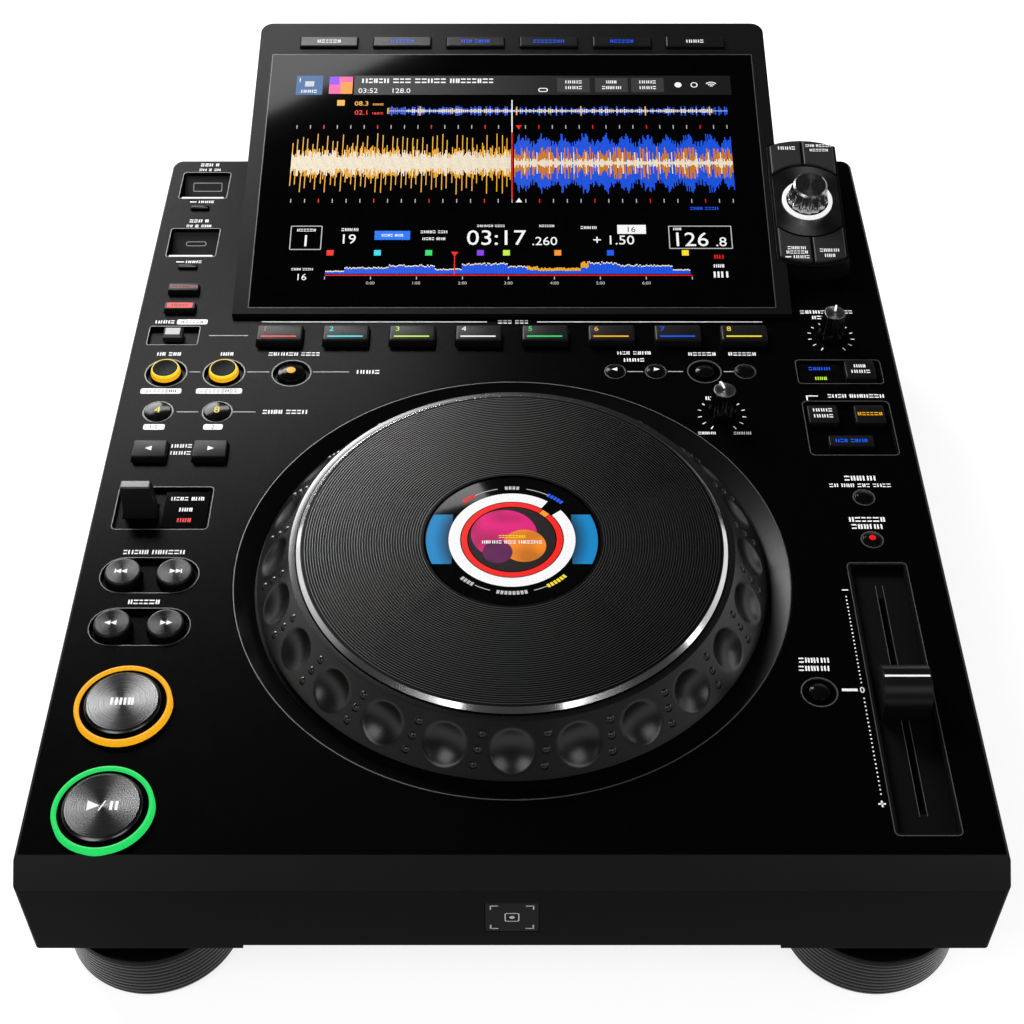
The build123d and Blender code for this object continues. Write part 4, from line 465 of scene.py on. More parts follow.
DECK_BLACK = Plastic("deck_black", grey(0.0008), 0.27, sheen=0.015, grain=0.35, relief=0.016, mottle=0.5, rounding=0.35)
SATIN_BLACK = Plastic("satin_black", grey(0.003), 0.34, sheen=0.16, grain=0.3, relief=0.004, rounding=0.25)
KEY_BLACK = Plastic("key_black", grey(0.004), 0.4, sheen=0.08, grain=0.3, relief=0.005)
KEY_GREY = Plastic("key_grey", grey(0.013), 0.5, sheen=0.2, grain=0.35, relief=0.008, rounding=0.2)
PAD_BLACK = Plastic("pad_black", grey(0.0045), 0.38, sheen=0.07, grain=0.35, relief=0.006)
HOUSING_BLACK = Plastic("housing_black", grey(0.004), 0.42, sheen=0.05, grain=0.35, relief=0.01, rounding=0.35)
SCREEN_BLACK = Plastic("screen_black", grey(0.0006), 0.07, sheen=0.04, grain=3.0, relief=0.0003)
GLOSS_BLACK = Plastic("gloss_black", grey(0.0015), 0.08, sheen=0.04, grain=2.0, relief=0.0005)
DOME_BLACK = Plastic("dome_black", grey(0.002), 0.14, sheen=0.08, grain=1.0, relief=0.001)
DEEP_BLACK = Plastic("deep_black", grey(0.0012), 0.6, sheen=0.05, grain=0.4, relief=0.005)
JOG_BLACK = Plastic("jog_black", grey(0.0035), 0.27, sheen=0.4, grain=0.3, relief=0.005)
RUBBER = Plastic("rubber", grey(0.012), 0.7, sheen=0.25, grain=0.5, relief=0.03)
FOOT_BLACK = Plastic("foot_black", grey(0.0015), 0.22, sheen=0.1, grain=0.6, relief=0.002)
# Lighter plastic for thin rims round recesses, wells and slots: a painted highlight where their edges catch the light.
EDGE_HIGHLIGHT = Plastic("edge_painted_highlight", grey(0.045), 0.45, sheen=0.4, grain=0.3, relief=0.003)
LEVER_BLACK = Plastic("lever_black", grey(0.012), 0.3, sheen=0.4, grain=0.3, relief=0.004, rounding=0.25)
WELL_BLACK = Plastic("well_black", grey(0.0018), 0.3, sheen=0.07, grain=0.3, relief=0.004)
# Paler colour and more gloss than the deck: a painted sheen on the front lip.
LIP_PAINTED_SHEEN = Plastic("lip_painted_sheen", grey(0.007), 0.34, sheen=0.17, grain=0.35, relief=0.01, rounding=0.5)
TRAY_STEEL = Plastic("tray_black_steel", grey(0.0028), 0.5, sheen=0.07, grain=0.4, relief=0.02, rounding=0.3)
# Lighter metal for the groove crests: a painted highlight for the glints along the platter's grooves.
GROOVE_GLINT_METAL = Metal("groove_glint_metal", grey(0.085), 0.36, grain=0.2, relief=0.001)
PLATTER_BLACK = Metal("platter_black", grey(0.006), 0.32, grain=0.2, relief=0.001)
CHROME = Metal("chrome", grey(0.75), 0.12, grain=0.5, relief=0.0005)
BRIGHT_CHROME = Metal("bright_chrome", grey(0.4), 0.16, grain=0.5, relief=0.001, rounding=0.2)
DARK_CHROME = Metal("dark_chrome", grey(0.07), 0.22, grain=0.5, relief=0.001, rounding=0.2)
STEEL = Metal("steel", grey(0.5), 0.3, grain=0.3, relief=0.002, rounding=0.1)
WHITE_INK = Ink("white_ink", grey(0.78), 0.6)
GREY_INK = Ink("grey_ink", grey(0.36), 0.6)
BLACK_INK = Ink("black_ink", grey(0.01), 0.6)


class Glow(Enum):
    """Colours of the lamps and of the screen."""

    WHITE = Lit("white_light", (0.93, 0.93, 0.93))
    SOFT_WHITE = Lit("soft_white_light", (0.62, 0.62, 0.64), glow=0.8)
    PANEL_GREY = Lit("panel_grey_light", (0.045, 0.045, 0.048), glow=0.8)
    RED = Lit("red_light", (0.92, 0.008, 0.004))
    DARK_RED = Lit("dark_red_light", (0.42, 0.02, 0.015), glow=0.8)
    ORANGE = Lit("orange_light", (0.95, 0.30, 0.015))
    AMBER = Lit("amber_light", (0.95, 0.44, 0.01))
    YELLOW = Lit("yellow_light", (0.95, 0.74, 0.03))
    LIME = Lit("lime_light", (0.55, 0.85, 0.05))
    GREEN = Lit("green_light", (0.02, 0.75, 0.14))
    CYAN = Lit("cyan_light", (0.02, 0.72, 0.82))
    BLUE = Lit("blue_light", (0.008, 0.10, 0.86))
    SKY = Lit("sky_light", (0.0, 0.17, 0.9))
    STEEL_BLUE = Lit("steel_blue_light", (0.006, 0.11, 0.3))
    PURPLE = Lit("purple_light", (0.25, 0.04, 0.85))
    PINK = Lit("pink_light", (0.95, 0.1, 0.35))
    CREAM = Lit("cream_light", (1.0, 0.88, 0.68))
    BURNT = Lit("burnt_light", (0.72, 0.22, 0.02))
    CHARCOAL = Lit("charcoal_light", (0.008, 0.008, 0.009), glow=0.8)


# ---- shapes


def stand(shape: Shape, low: float, high: float, top_scale: float = 1.0) -> Shape:
    """Raises a flat shape into a closed solid.

    Args:
        shape: Faces in the plane z 0.
        low: Height of the underside.
        high: Height of the top.
        top_scale: Size of the top against the underside.

    Returns:
        The same shape, closed.
    """
    made = bmesh.ops.extrude_face_region(shape, geom=shape.faces[:])
    top = [v for v in made["geom"] if isinstance(v, bmesh.types.BMVert)]
    bmesh.ops.translate(shape, vec=(0, 0, high - low), verts=top)
    bmesh.ops.scale(shape, vec=(top_scale, top_scale, 1), verts=top)
    bmesh.ops.translate(shape, vec=(0, 0, low), verts=shape.verts)
    bmesh.ops.recalc_face_normals(shape, faces=shape.faces)
    return shape


def soften_top(shape: Shape, edge: float) -> None:
    """Rounds the edges round the topmost faces.

    Args:
        shape: A closed shape with a flat top.
        edge: Radius, in millimetres.
    """
    top = max(v.co.z for v in shape.verts)
    caps = {f for f in shape.faces if all(abs(v.co.z - top) < 1e-4 for v in f.verts)}
    rims = [e for e in shape.edges if len(caps.intersection(e.link_faces)) == 1]
    bmesh.ops.bevel(
        shape, geom=rims, offset=edge, offset_type="OFFSET", segments=3, profile=0.5, affect="EDGES", material=-1
    )


def outline(width: float, length: float, corner: float) -> Shape:
    """A flat rectangle, with round corners where a radius is given."""
    shape = bmesh.new()
    bmesh.ops.create_grid(shape, x_segments=1, y_segments=1, size=0.5)
    bmesh.ops.scale(shape, vec=(width, length, 1), verts=shape.verts)
    if corner:
        bmesh.ops.bevel(
            shape, geom=shape.verts[:], offset=corner, offset_type="OFFSET", segments=5, profile=0.5,
            affect="VERTICES", material=-1,
        )
    return shape


def slab(width: float, length: float, low: float, high: float, corner: float = 0.0, edge: float = 0.0) -> Shape:
    """A block with round corners and a softened top edge.

    Args:
        width: Size across.
        length: Size along.
        low: Height of the underside.
        high: Height of the top.
        corner: Radius of the upright corners.
        edge: Radius round the top.

    Returns:
        The closed shape.
    """
    shape = stand(outline(width, length, corner), low, high)
    if edge:
        soften_top(shape, edge)
    return shape


def rim(width: float, length: float, line: float, low: float, high: float, corner: float = 0.0) -> Shape:
    """A rectangular ring whose line lies inside the given size.

    Args:
        width: Outer size across.
        length: Outer size along.
        line: Width of the line.
        low: Height of the underside.
        high: Height of the top.
        corner: Outer corner radius.

    Returns:
        The closed shape.
    """
    shape = outline(width, length, corner)
    inner = shape.faces[:]
    bmesh.ops.inset_region(shape, faces=inner, thickness=line, use_boundary=True, use_even_offset=True)
    bmesh.ops.delete(shape, geom=inner, context="FACES")
    return stand(shape, low, high)


def circle(radius: float, sides: int) -> Shape:
    """A flat round face."""
    shape = bmesh.new()
    bmesh.ops.create_circle(shape, cap_ends=True, segments=sides, radius=radius)
    return shape


def disc(radius: float, low: float, high: float, sides: int, edge: float = 0.0) -> Shape:
    """A round plate, with a softened top edge where one is given."""
    shape = stand(circle(radius, sides), low, high)
    if edge:
        soften_top(shape, edge)
    return shape


def spin(shape: Shape, geom: list, angle: float, steps: int, merge: bool) -> None:
    """Draws a profile round the upright axis.

    Args:
        shape: The shape that holds it.
        geom: The profile's corners, edges and faces.
        angle: How far round, in radians.
        steps: Segments of the way.
        merge: True if the last step closes onto the first.
    """
    bmesh.ops.spin(
        shape, geom=geom, cent=(0, 0, 0), axis=(0, 0, 1), dvec=(0, 0, 0), angle=angle, space=Matrix.Identity(4),
        steps=steps, use_merge=merge, use_normal_flip=False, use_duplicate=False,
    )


def lathe(profile: Sequence[Place], steps: int = 64, closed: bool = False) -> Shape:
    """A turned shape.

    Args:
        profile: Points (radius, height) from the underside to the top.
        steps: Faces round the axis.
        closed: True if the profile is a loop, as for a ring.

    Returns:
        The turned shape.
    """
    shape = bmesh.new()
    points = [shape.verts.new((radius, 0, height)) for radius, height in profile]
    pairs = list(pairwise(points)) + ([(points[-1], points[0])] if closed else [])
    edges = [shape.edges.new(pair) for pair in pairs]
    spin(shape, points + edges, tau, steps, merge=True)
    bmesh.ops.remove_doubles(shape, verts=shape.verts, dist=1e-4)
    bmesh.ops.recalc_face_normals(shape, faces=shape.faces)
    return shape


def collar(inner: float, outer: float, low: float, high: float, steps: int) -> Shape:
    """A flat ring with square edges."""
    return lathe([(inner, low), (outer, low), (outer, high), (inner, high)], steps, closed=True)


def cap(radius: float, rise: float, edge: float, crown: float, low: float) -> Shape:
    """A round button with a soft edge and a flat, domed or dished face.

    Args:
        radius: Radius of its side.
        rise: Height of the face's rim.
        edge: Radius of the soft edge.
        crown: Height of the middle above the rim, less than 0 for a dish.
        low: Height of the underside.

    Returns:
        The turned shape.
    """
    profile = [(0.0, low), (radius, low)]
    for i in range(5):
        swing = i * pi / 8
        profile.append((radius - edge + edge * cos(swing), rise - edge + edge * sin(swing)))
    for i in range(1, 7):
        share = 1 - i / 6
        profile.append(((radius - edge) * share, rise + crown * (1 - share * share)))
    return lathe(profile)


def fluted(radius: float, flutes: int, depth: float, low: float, high: float, top_scale: float = 1.0) -> Shape:
    """An upright grip with round flutes in its side.

    Args:
        radius: Radius of the ribs at the foot.
        flutes: Number of flutes.
        depth: Depth of a flute.
        low: Height of the underside.
        high: Height of the top.
        top_scale: Size of the top against the foot.

    Returns:
        The closed shape.
    """
    shape = circle(radius, flutes * 10)
    for vert in shape.verts:
        swing = atan2(vert.co.y, vert.co.x) * flutes
        vert.co *= 1 - depth / radius * (0.5 + 0.5 * cos(swing)) ** 0.7
    return stand(shape, low, high, top_scale)


def cut(shape: Shape, way: Vector, reach: float) -> None:
    """Takes away what lies beyond a plane.

    Args:
        shape: A flat shape.
        way: Direction in which the plane lies.
        reach: Its distance from the shape's middle.
    """
    bmesh.ops.bisect_plane(
        shape, geom=shape.verts[:] + shape.edges[:] + shape.faces[:], dist=1e-4, plane_co=way * reach, plane_no=way,
        clear_outer=True, clear_inner=False,
    )


def clipped(radius: float, half: float, low: float, high: float) -> Shape:
    """A round plate cut straight at both sides.

    Args:
        radius: Radius of the plate.
        half: Distance of the cuts from its middle.
        low: Height of the underside.
        high: Height of the top.

    Returns:
        The closed shape.
    """
    shape = circle(radius, 128)
    for side in (-1, 1):
        cut(shape, Vector((side, 0, 0)), half)
    return stand(shape, low, high)


def turned(shape: Shape, angle: float) -> None:
    """Turns a shape about the upright axis."""
    bmesh.ops.rotate(shape, cent=(0, 0, 0), matrix=Matrix.Rotation(angle, 3, "Z"), verts=shape.verts)


def arc_band(inner: float, outer: float, start: float, end: float, steps: int) -> Shape:
    """A thin part of a flat ring, from one angle to another.

    Args:
        inner: Inner radius.
        outer: Outer radius.
        start: First angle, in radians from the first direction.
        end: Last angle.
        steps: Segments along the arc.

    Returns:
        The closed shape.
    """
    shape = bmesh.new()
    corners = [(inner, 0), (outer, 0), (outer, HAIR), (inner, HAIR)]
    first = shape.faces.new([shape.verts.new((radius, 0, height)) for radius, height in corners])
    turned(shape, start)
    spin(shape, first.verts[:] + first.edges[:] + [first], end - start, steps, merge=False)
    bmesh.ops.recalc_face_normals(shape, faces=shape.faces)
    return shape


def triangle(size: float, aim: float = 0.0, stretch: float = 1.0) -> Shape:
    """A thin triangular mark.

    Args:
        size: Radius of the circle round it.
        aim: Direction of its tip, in radians.
        stretch: Its length against an even triangle's.

    Returns:
        The closed shape.
    """
    shape = circle(size, 3)
    turned(shape, -pi / 2)
    tip = max(shape.verts, key=lambda v: v.co.length_squared + v.co.x)
    turned(shape, -atan2(tip.co.y, tip.co.x))
    bmesh.ops.scale(shape, vec=(stretch, 1, 1), verts=shape.verts)
    turned(shape, aim)
    return stand(shape, 0, HAIR)


def boxes(rows: Iterable[Block], high: float = HAIR, low: float = 0.0) -> Shape:
    """Many small blocks in one shape.

    Args:
        rows: The blocks.
        high: Height of the top.
        low: Height of the underside.

    Returns:
        The joined shape.
    """
    shape = bmesh.new()
    for u, v, width, length in rows:
        size = Matrix.Diagonal((width, length, high - low, 1.0))
        bmesh.ops.create_cube(shape, size=1.0, matrix=Matrix.Translation((u, v, (low + high) / 2)) @ size)
    return shape


def numeral(text: str, height: float, high: float = HAIR) -> Shape:
    """Plain figures.

    Args:
        text: The figures.
        height: Height of a figure, in millimetres.
        high: Thickness of a figure.

    Returns:
        The closed figures, with their middle on the place.
    """
    curve = bpy.data.curves.new("figures", "FONT")
    curve.body = text
    curve.extrude = 0.5
    curve.resolution_u = 3
    holder = bpy.data.objects.new("figures", curve)
    bpy.context.scene.collection.objects.link(holder)
    flat = bpy.data.meshes.new_from_object(holder)
    bpy.data.objects.remove(holder)
    bpy.data.curves.remove(curve)
    shape = bmesh.new()
    shape.from_mesh(flat)
    bpy.data.meshes.remove(flat)
    bmesh.ops.remove_doubles(shape, verts=shape.verts, dist=1e-5)
    left, right = min(v.co.x for v in shape.verts), max(v.co.x for v in shape.verts)
    base, top = min(v.co.y for v in shape.verts), max(v.co.y for v in shape.verts)
    size = height / (top - base)
    shift = (-left - (right - left) / 2, -(base + top) / 2, 0)
    bmesh.ops.translate(shape, vec=shift, verts=shape.verts)
    bmesh.ops.scale(shape, vec=(size, size, high), verts=shape.verts)
    bmesh.ops.translate(shape, vec=(0, 0, high / 2), verts=shape.verts)
    return shape


def caption(words: Sequence[int], height: float, high: float = HAIR) -> Shape:
    """A row of small blocks that stands in the place of printed words.

    Args:
        words: Number of blocks in each group.
        height: Height of a block.
        high: Thickness of a block.

    Returns:
        The blocks, centred on the place.
    """
    draw = random.Random(sum(words) * 31 + len(words))
    rows, u = [], 0.0
    for count in words:
        for _ in range(count):
            width = height * draw.uniform(0.62, 0.95)
            line = 0.27 * height
            upright = draw.random() < 0.5
            for side in (-1, 1):
                if upright:
                    rows.append((u + width / 2 + side * (width - line) / 2, 0.0, line, height))
                else:
                    rows.append((u + width / 2, side * (height - line) / 2, width, line))
            u += width + 0.22 * height
        u += 0.5 * height
    reach = u - 0.72 * height
    return boxes([(x - reach / 2, y, w, h) for x, y, w, h in rows], high)


class Piece:
    """One object of the finished model: shapes of one finish that ride on one body."""

    def __init__(self, name: str, finish: Finish | Glow, body: str = CHASSIS, smooth: float = 40.0) -> None:
        """Starts an empty piece.

        Args:
            name: Plain name of the piece.
            finish: Its finish.
            body: The CAD body that it moves with.
            smooth: Edges flatter than this many degrees are shaded smooth.
        """
        self.name = name
        self.finish = finish.value if isinstance(finish, Glow) else finish
        self.body = body
        self.smooth = smooth
        self.mesh = bmesh.new()

    def add(self, shape: Shape, place: Matrix) -> "Piece":
        """Seats a shape and joins it to the piece.

        Args:
            shape: The shape, in millimetres. It is used up.
            place: Where it goes, from Surface.place.

        Returns:
            The piece itself.
        """
        bmesh.ops.transform(shape, matrix=place, verts=shape.verts)
        passing = bpy.data.meshes.new("passing")
        shape.to_mesh(passing)
        shape.free()
        self.mesh.from_mesh(passing)
        bpy.data.meshes.remove(passing)
        return self

    def done(self, slot: str = "", replaces: Sequence[str] = ()) -> None:
        """Makes the object and puts it on its body.

        Args:
            slot: The record's material slot, if the piece has one; not used.
            replaces: CAD nodes that this piece stands for.
        """
        limit = radians(self.smooth)
        for edge in self.mesh.edges:
            edge.smooth = len(edge.link_faces) == 2 and edge.calc_face_angle(pi) < limit
        for face in self.mesh.faces:
            face.smooth = True
        mesh = bpy.data.meshes.new(self.name)
        self.mesh.to_mesh(mesh)
        self.mesh.free()
        mesh.materials.append(self.finish.material())
        made = bpy.data.objects.new(self.name, mesh)
        bpy.context.scene.collection.objects.link(made)
        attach(made, self.body)
        if replaces:
            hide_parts(*replaces)
        log.info("%s: %d faces on %s", self.name, len(mesh.polygons), self.body)


def dress(finish: Finish, *nodes: str) -> None:
    """Gives CAD nodes a finish and leaves their shapes as they are."""
    for node in nodes:
        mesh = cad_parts[node].data
        mesh.materials.clear()
        mesh.materials.append(finish.material())


# ---- body


@dataclass
class Body:
    """Deck, tray and front face."""

    lip_reach: float = 16.0
    window_drop: float = 24.6
    bracket: float = 14.5
    bracket_arm: float = 2.6
    line: float = 0.45
    icon: tuple[float, ...] = (5.0, 5.4, 0.4)

    def build(self) -> None:
        """Dresses the CAD shells, lays a painted sheen on the front lip and adds the front window's marks."""
        dress(DECK_BLACK, "deck_cover")
        dress(TRAY_STEEL, "base_tray")
        dress(KEY_BLACK, "main_board", "control_board")
        dress(GLOSS_BLACK, "gloss_windows")
        self.lip()
        self.front_marks()

    def lip(self) -> None:
        """A paler, glossier skin on the slope along the cover's front edge: a painted sheen for the bright reflection
        that the slope catches.
        """
        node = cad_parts["deck_cover"]
        shape = bmesh.new()
        shape.from_mesh(node.data)
        bmesh.ops.transform(shape, matrix=node.matrix_world, verts=shape.verts)
        shape.normal_update()
        low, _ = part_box("deck_cover")
        other = [
            face for face in shape.faces
            if not (face.normal.y < -0.3 and 0.12 < face.normal.z < 0.93
                    and face.calc_center_median().y < low.y + self.lip_reach * MM)
        ]
        bmesh.ops.delete(shape, geom=other, context="FACES")
        bmesh.ops.remove_doubles(shape, verts=shape.verts[:], dist=0.001 * MM)
        made = bmesh.ops.extrude_face_region(shape, geom=shape.faces[:])
        outer = [v for v in made["geom"] if isinstance(v, bmesh.types.BMVert)]
        bmesh.ops.translate(shape, vec=Vector((0, -0.3, 0.9)) * 0.4 * HAIR * MM, verts=outer)
        bmesh.ops.recalc_face_normals(shape, faces=shape.faces[:])
        Piece("front_lip_painted_sheen", LIP_PAINTED_SHEEN).add(shape, Matrix.Identity(4)).done()

    def front_marks(self) -> None:
        """Four corner brackets round a small plain mark on the front window."""
        half, arm, line = self.bracket / 2, self.bracket_arm, self.line
        rows = []
        for x in (-1, 1):
            for y in (-1, 1):
                rows.append((x * (half - arm / 2), y * half, arm, line))
                rows.append((x * half, y * (half - arm / 2 + line / 2), line, arm))
        thin = 0.4 * HAIR
        marks = Piece("front_window_marks", WHITE_INK)
        for shape in (boxes(rows, thin), rim(*self.icon, 0, thin, 0.8), disc(0.9, 0, thin, 16)):
            marks.add(shape, FASCIA.place(0, -self.window_drop))
        marks.done()


@dataclass
class Feet:
    """Four turned feet with rubber pads."""

    radius: float = 32.4
    neck_radius: float = 25.0
    top: float = 39.0
    neck: float = 13.0
    pad_radius: float = 27.7
    pad: float = 3.0
    grooves: int = 9
    inset: Place = (33.5, 27.6)
    half_width: float = 165.0

    def places(self) -> list[Place]:
        """Middles of the four feet."""
        x, y = self.inset
        return [(side * (self.half_width - x), at) for side in (-1, 1) for at in (y, DECK_DEPTH - y)]

    def profile(self) -> list[Place]:
        """The foot's turned outline, with fine grooves round its side."""
        edge, low, high = 2.2, self.pad - 1.0, self.top - self.neck
        points = [(0, low + 0.8), (self.pad_radius + 0.3, low + 0.8), (self.pad_radius + 0.3, low)]
        points += [(self.radius - edge, low), (self.radius - 0.6, low + 0.6), (self.radius, low + edge)]
        pitch = (high - low - 2 * edge) / self.grooves
        for i in range(self.grooves):
            at = low + edge + (i + 0.5) * pitch
            points += [(self.radius, at - 0.25), (self.radius - 0.12, at), (self.radius, at + 0.25)]
        points += [(self.radius, high - edge), (self.radius - 0.6, high - 0.6), (self.radius - edge, high)]
        return points + [(self.neck_radius, high), (self.neck_radius, self.top), (0, self.top)]

    def build(self) -> None:
        """Turns the feet and the pads under them."""
        feet = Piece("turned_feet", FOOT_BLACK)
        pads = Piece("rubber_foot_pads", RUBBER)
        for place in self.places():
            feet.add(lathe(self.profile(), 96), FLOOR.place(*place))
            pads.add(disc(self.pad_radius, 0, self.pad, 64), FLOOR.place(*place))
        feet.done("foot_plastic", ["feet"])
        pads.done("foot_rubber", ["foot_pads"])


# ---- jog wheel


@dataclass
class JogWheel:
    """The dimpled ring, the grooved platter and the round display in its middle."""

    radius: float = 97.0
    shoulder: float = 83.6
    rise: float = 14.4
    skirt: float = 1.6
    dimples: int = 24
    dimple_radius: float = 7.9
    dimple_depth: float = 1.9
    bumps: int = 3
    bump_radius: float = 1.25
    bump_pitch: float = 5.6
    platter_radius: float = 80.8
    platter_top: float = 16.6
    bore: float = 33.2
    groove_start: float = 34.5
    groove_end: float = 77.6
    grooves: int = 44
    chrome: float = 1.9
    well_radius: float = 106.0
    lens_radius: float = 32.6
    lens_drop: float = 0.35
    white_ring: Place = (19.5, 23.8)
    red_ring: Place = (16.8, 19.1)
    notch: float = radians(47)  # direction of the orange mark
    pane_half: float = 12.6
    arc_radius: float = 26.8
    block_pitch: float = 0.055

    @property
    def side(self) -> tuple[float, float, float]:
        """Run, climb and length of the cone's side."""
        run, climb = self.shoulder - self.radius, self.rise + self.skirt
        return run, climb, hypot(run, climb)

    def build(self) -> None:
        """Builds the wheel and dresses the well round it."""
        dress(WELL_BLACK, "jog_well")
        dress(STEEL, "jog_spindle")
        self.ring()
        self.ring_bumps()
        self.platter()
        self.well_rim_highlight()
        self.display()

    def ring(self) -> None:
        """The cone with its row of finger dimples."""
        across = 34
        turns = self.dimples * 30
        run, climb, length = self.side
        normal = Vector((climb / length, 0, -run / length))
        cone = [(self.radius + run * i / across, -self.skirt + climb * i / across) for i in range(across + 1)]
        inner = [(self.shoulder - 1.2, self.rise + 0.25), (self.platter_radius + 0.5, self.rise + 0.25)]
        under = [(self.platter_radius + 0.5, self.rise - 3.0), (self.radius - 4.5, -self.skirt)]
        shape = lathe(cone + inner + under, turns, closed=True)
        pitch = tau / self.dimples
        for vert in shape.verts:
            reach = hypot(vert.co.x, vert.co.y)
            on_cone = abs((reach - self.radius) * climb - (vert.co.z + self.skirt) * run) < 1e-2 * length
            if not on_cone:
                continue
            angle = atan2(vert.co.y, vert.co.x) + pi / 2
            aside = ((angle + pitch / 2) % pitch - pitch / 2) * reach
            up = (reach - self.radius) / run * length - length / 2
            depth = self.dip(hypot(aside, up))
            if depth:
                flat = Vector((vert.co.x, vert.co.y, 0)) / reach
                vert.co -= (flat * normal.x + Vector((0, 0, normal.z))) * depth
        ring = Piece("dimpled_jog_ring", JOG_BLACK, JOG_BODY, smooth=24.0).add(shape, JOG.place())
        ring.done("jog_plastic", ["jog_ring"])

    def dip(self, distance: float) -> float:
        """Depth of a dimple at a distance from its middle."""
        share = distance / self.dimple_radius
        return self.dimple_depth * (1 - share * share) if share < 1 else 0.0

    def ring_bumps(self) -> None:
        """A radial row of small studs between each two dimples."""
        run, climb, length = self.side
        lean = Matrix.Rotation(atan2(climb, -run), 4, "Y")  # from upright onto the cone's own normal
        profile = [(self.bump_radius + 0.3, 0), (self.bump_radius, 0.3), (0.7 * self.bump_radius, 0.52), (0, 0.6)]
        studs = Piece("jog_ring_studs", JOG_BLACK, JOG_BODY)
        for i in range(self.dimples):
            angle = -pi / 2 + (i + 0.5) * tau / self.dimples
            for j in range(self.bumps):
                along = length / 2 + (j - (self.bumps - 1) / 2) * self.bump_pitch
                reach = self.radius + run * along / length
                height = -self.skirt + climb * along / length
                # The three studs lean a little, like a row that swings round with the ring.
                swing = angle + (j - 1) * 0.012
                stud = lathe(profile, 12)
                seat = Matrix.Rotation(swing, 4, "Z") @ Matrix.Translation((reach, 0, height))
                bmesh.ops.transform(stud, matrix=seat @ lean, verts=stud.verts)
                studs.add(stud, JOG.place())
        studs.done("jog_plastic")

    def platter(self) -> None:
        """The grooved face, lighter metal rings on its crests as painted glints of the grooves, and the bright bevel
        round it.
        """
        pitch = (self.groove_end - self.groove_start) / self.grooves
        top = self.platter_top
        face = [(self.bore, self.rise), (self.bore, top), (self.groove_start - 0.4, top)]
        for i in range(self.grooves):
            at = self.groove_start + i * pitch
            face += [(at, top), (at + 0.3 * pitch, top - 0.04), (at + 0.52 * pitch, top - 0.42)]
            face += [(at + 0.74 * pitch, top - 0.04)]
        # Lighter metal on each crest: a painted highlight for the glints along the grooves.
        glints = Piece("platter_groove_glints", GROOVE_GLINT_METAL, JOG_BODY)
        for i in range(self.grooves + 1):
            at = self.groove_start + (i - 0.13) * pitch
            glints.add(collar(at, at + 0.26 * pitch, -0.1, 0.03, 192), JOG.place(0, 0, top))
        glints.done("platter_aluminium")
        edge = self.platter_radius - self.chrome
        face += [(self.groove_end, top), (edge, top), (edge, self.rise)]
        plate = Piece("grooved_platter", PLATTER_BLACK, JOG_BODY, smooth=50.0)
        plate.add(lathe(face, 288, closed=True), JOG.place()).done("platter_aluminium", ["jog_platter"])
        bevel = [(edge, top), (edge + 0.3, top), (self.platter_radius, top - 1.5)]
        bevel += [(self.platter_radius, self.rise), (edge, self.rise)]
        band = Piece("platter_bright_edge", CHROME, JOG_BODY, smooth=20.0)
        band.add(lathe(bevel, 192, closed=True), JOG.place()).done("platter_aluminium")

    def well_rim_highlight(self) -> None:
        """The thin rim where the well meets the deck, in a lighter plastic: a painted highlight of the edge."""
        line = collar(self.well_radius - 0.4, self.well_radius, 0, 0.08, 192)
        Piece("jog_well_rim_highlight", EDGE_HIGHLIGHT).add(line, JOG.place()).done("well_plastic")

    def display(self) -> None:
        """The round lens with its lit rings, side panes and generic label."""
        top = self.platter_top - self.lens_drop
        lens = disc(self.lens_radius, self.rise - 2.0, top, 96, 0.3)
        Piece("jog_lens", GLOSS_BLACK).add(lens, JOG.place()).done("jog_lens", ["jog_display"])
        seat = JOG.moved(0, 0, top)
        notch, whole = self.notch, self.notch + tau
        for name, glow, shape in (
            ("white_ring", Glow.WHITE, arc_band(*self.white_ring, notch + 0.14, whole - 0.14, 96)),
            ("red_ring", Glow.RED, arc_band(*self.red_ring, notch + 0.11, whole - 0.11, 96)),
            ("orange_mark", Glow.ORANGE, arc_band(*self.red_ring, notch - 0.09, notch + 0.09, 6)),
        ):
            Piece(f"jog_{name}", glow).add(shape, seat.place()).done()
        self.side_panes(seat)
        self.label(seat)
        self.arcs(seat)

    def side_panes(self, seat: Surface) -> None:
        """Two blue panes that fade towards the white ring."""
        finish = Fade("pane_light", (0.0, 0.21, 0.5), inner=23.6, outer=29.5, middle=seat.origin)
        for side, name in ((-1, "left"), (1, "right")):
            shape = circle(self.lens_radius - 0.4, 96)
            cut(shape, Vector((0, 1, 0)), self.pane_half)
            cut(shape, Vector((0, -1, 0)), self.pane_half)
            cut(shape, Vector((-side, 0, 0)), -22.4)
            Piece(f"jog_pane_{name}", finish).add(stand(shape, 0, 0.4 * HAIR), seat.place()).done()

    def label(self, seat: Surface) -> None:
        """A generic round picture: bands of warm colour round a dark middle."""
        bands = (
            ("jog_label_ground", (0.008, 0.001, 0.003), 16.4, 0.0, 0.0),
            ("jog_label_magenta", (0.8, 0.006, 0.2), 12.4, -3.0, 2.6),
            ("jog_label_orange", (0.95, 0.26, 0.006), 8.2, 4.6, -3.4),
            ("jog_label_plum", (0.12, 0.006, 0.09), 5.6, -5.4, -6.6),
        )
        for level, (name, colour, radius, x, y) in enumerate(bands):
            finish = Lit(name + "_light", colour, cell=9.0, shade=0.5)
            Piece(name, finish).add(disc(radius, 0, 0.01 + 0.012 * level, 64), seat.place(x, y)).done()
        for name, glow, words, size, y in (
            ("blocks", Glow.WHITE, (5, 3, 6), 1.5, -1.6), ("small_blocks", Glow.YELLOW, (8,), 1.3, 1.2),
        ):
            Piece(f"jog_label_{name}", glow).add(caption(words, size), seat.place(0, y, HAIR)).done()

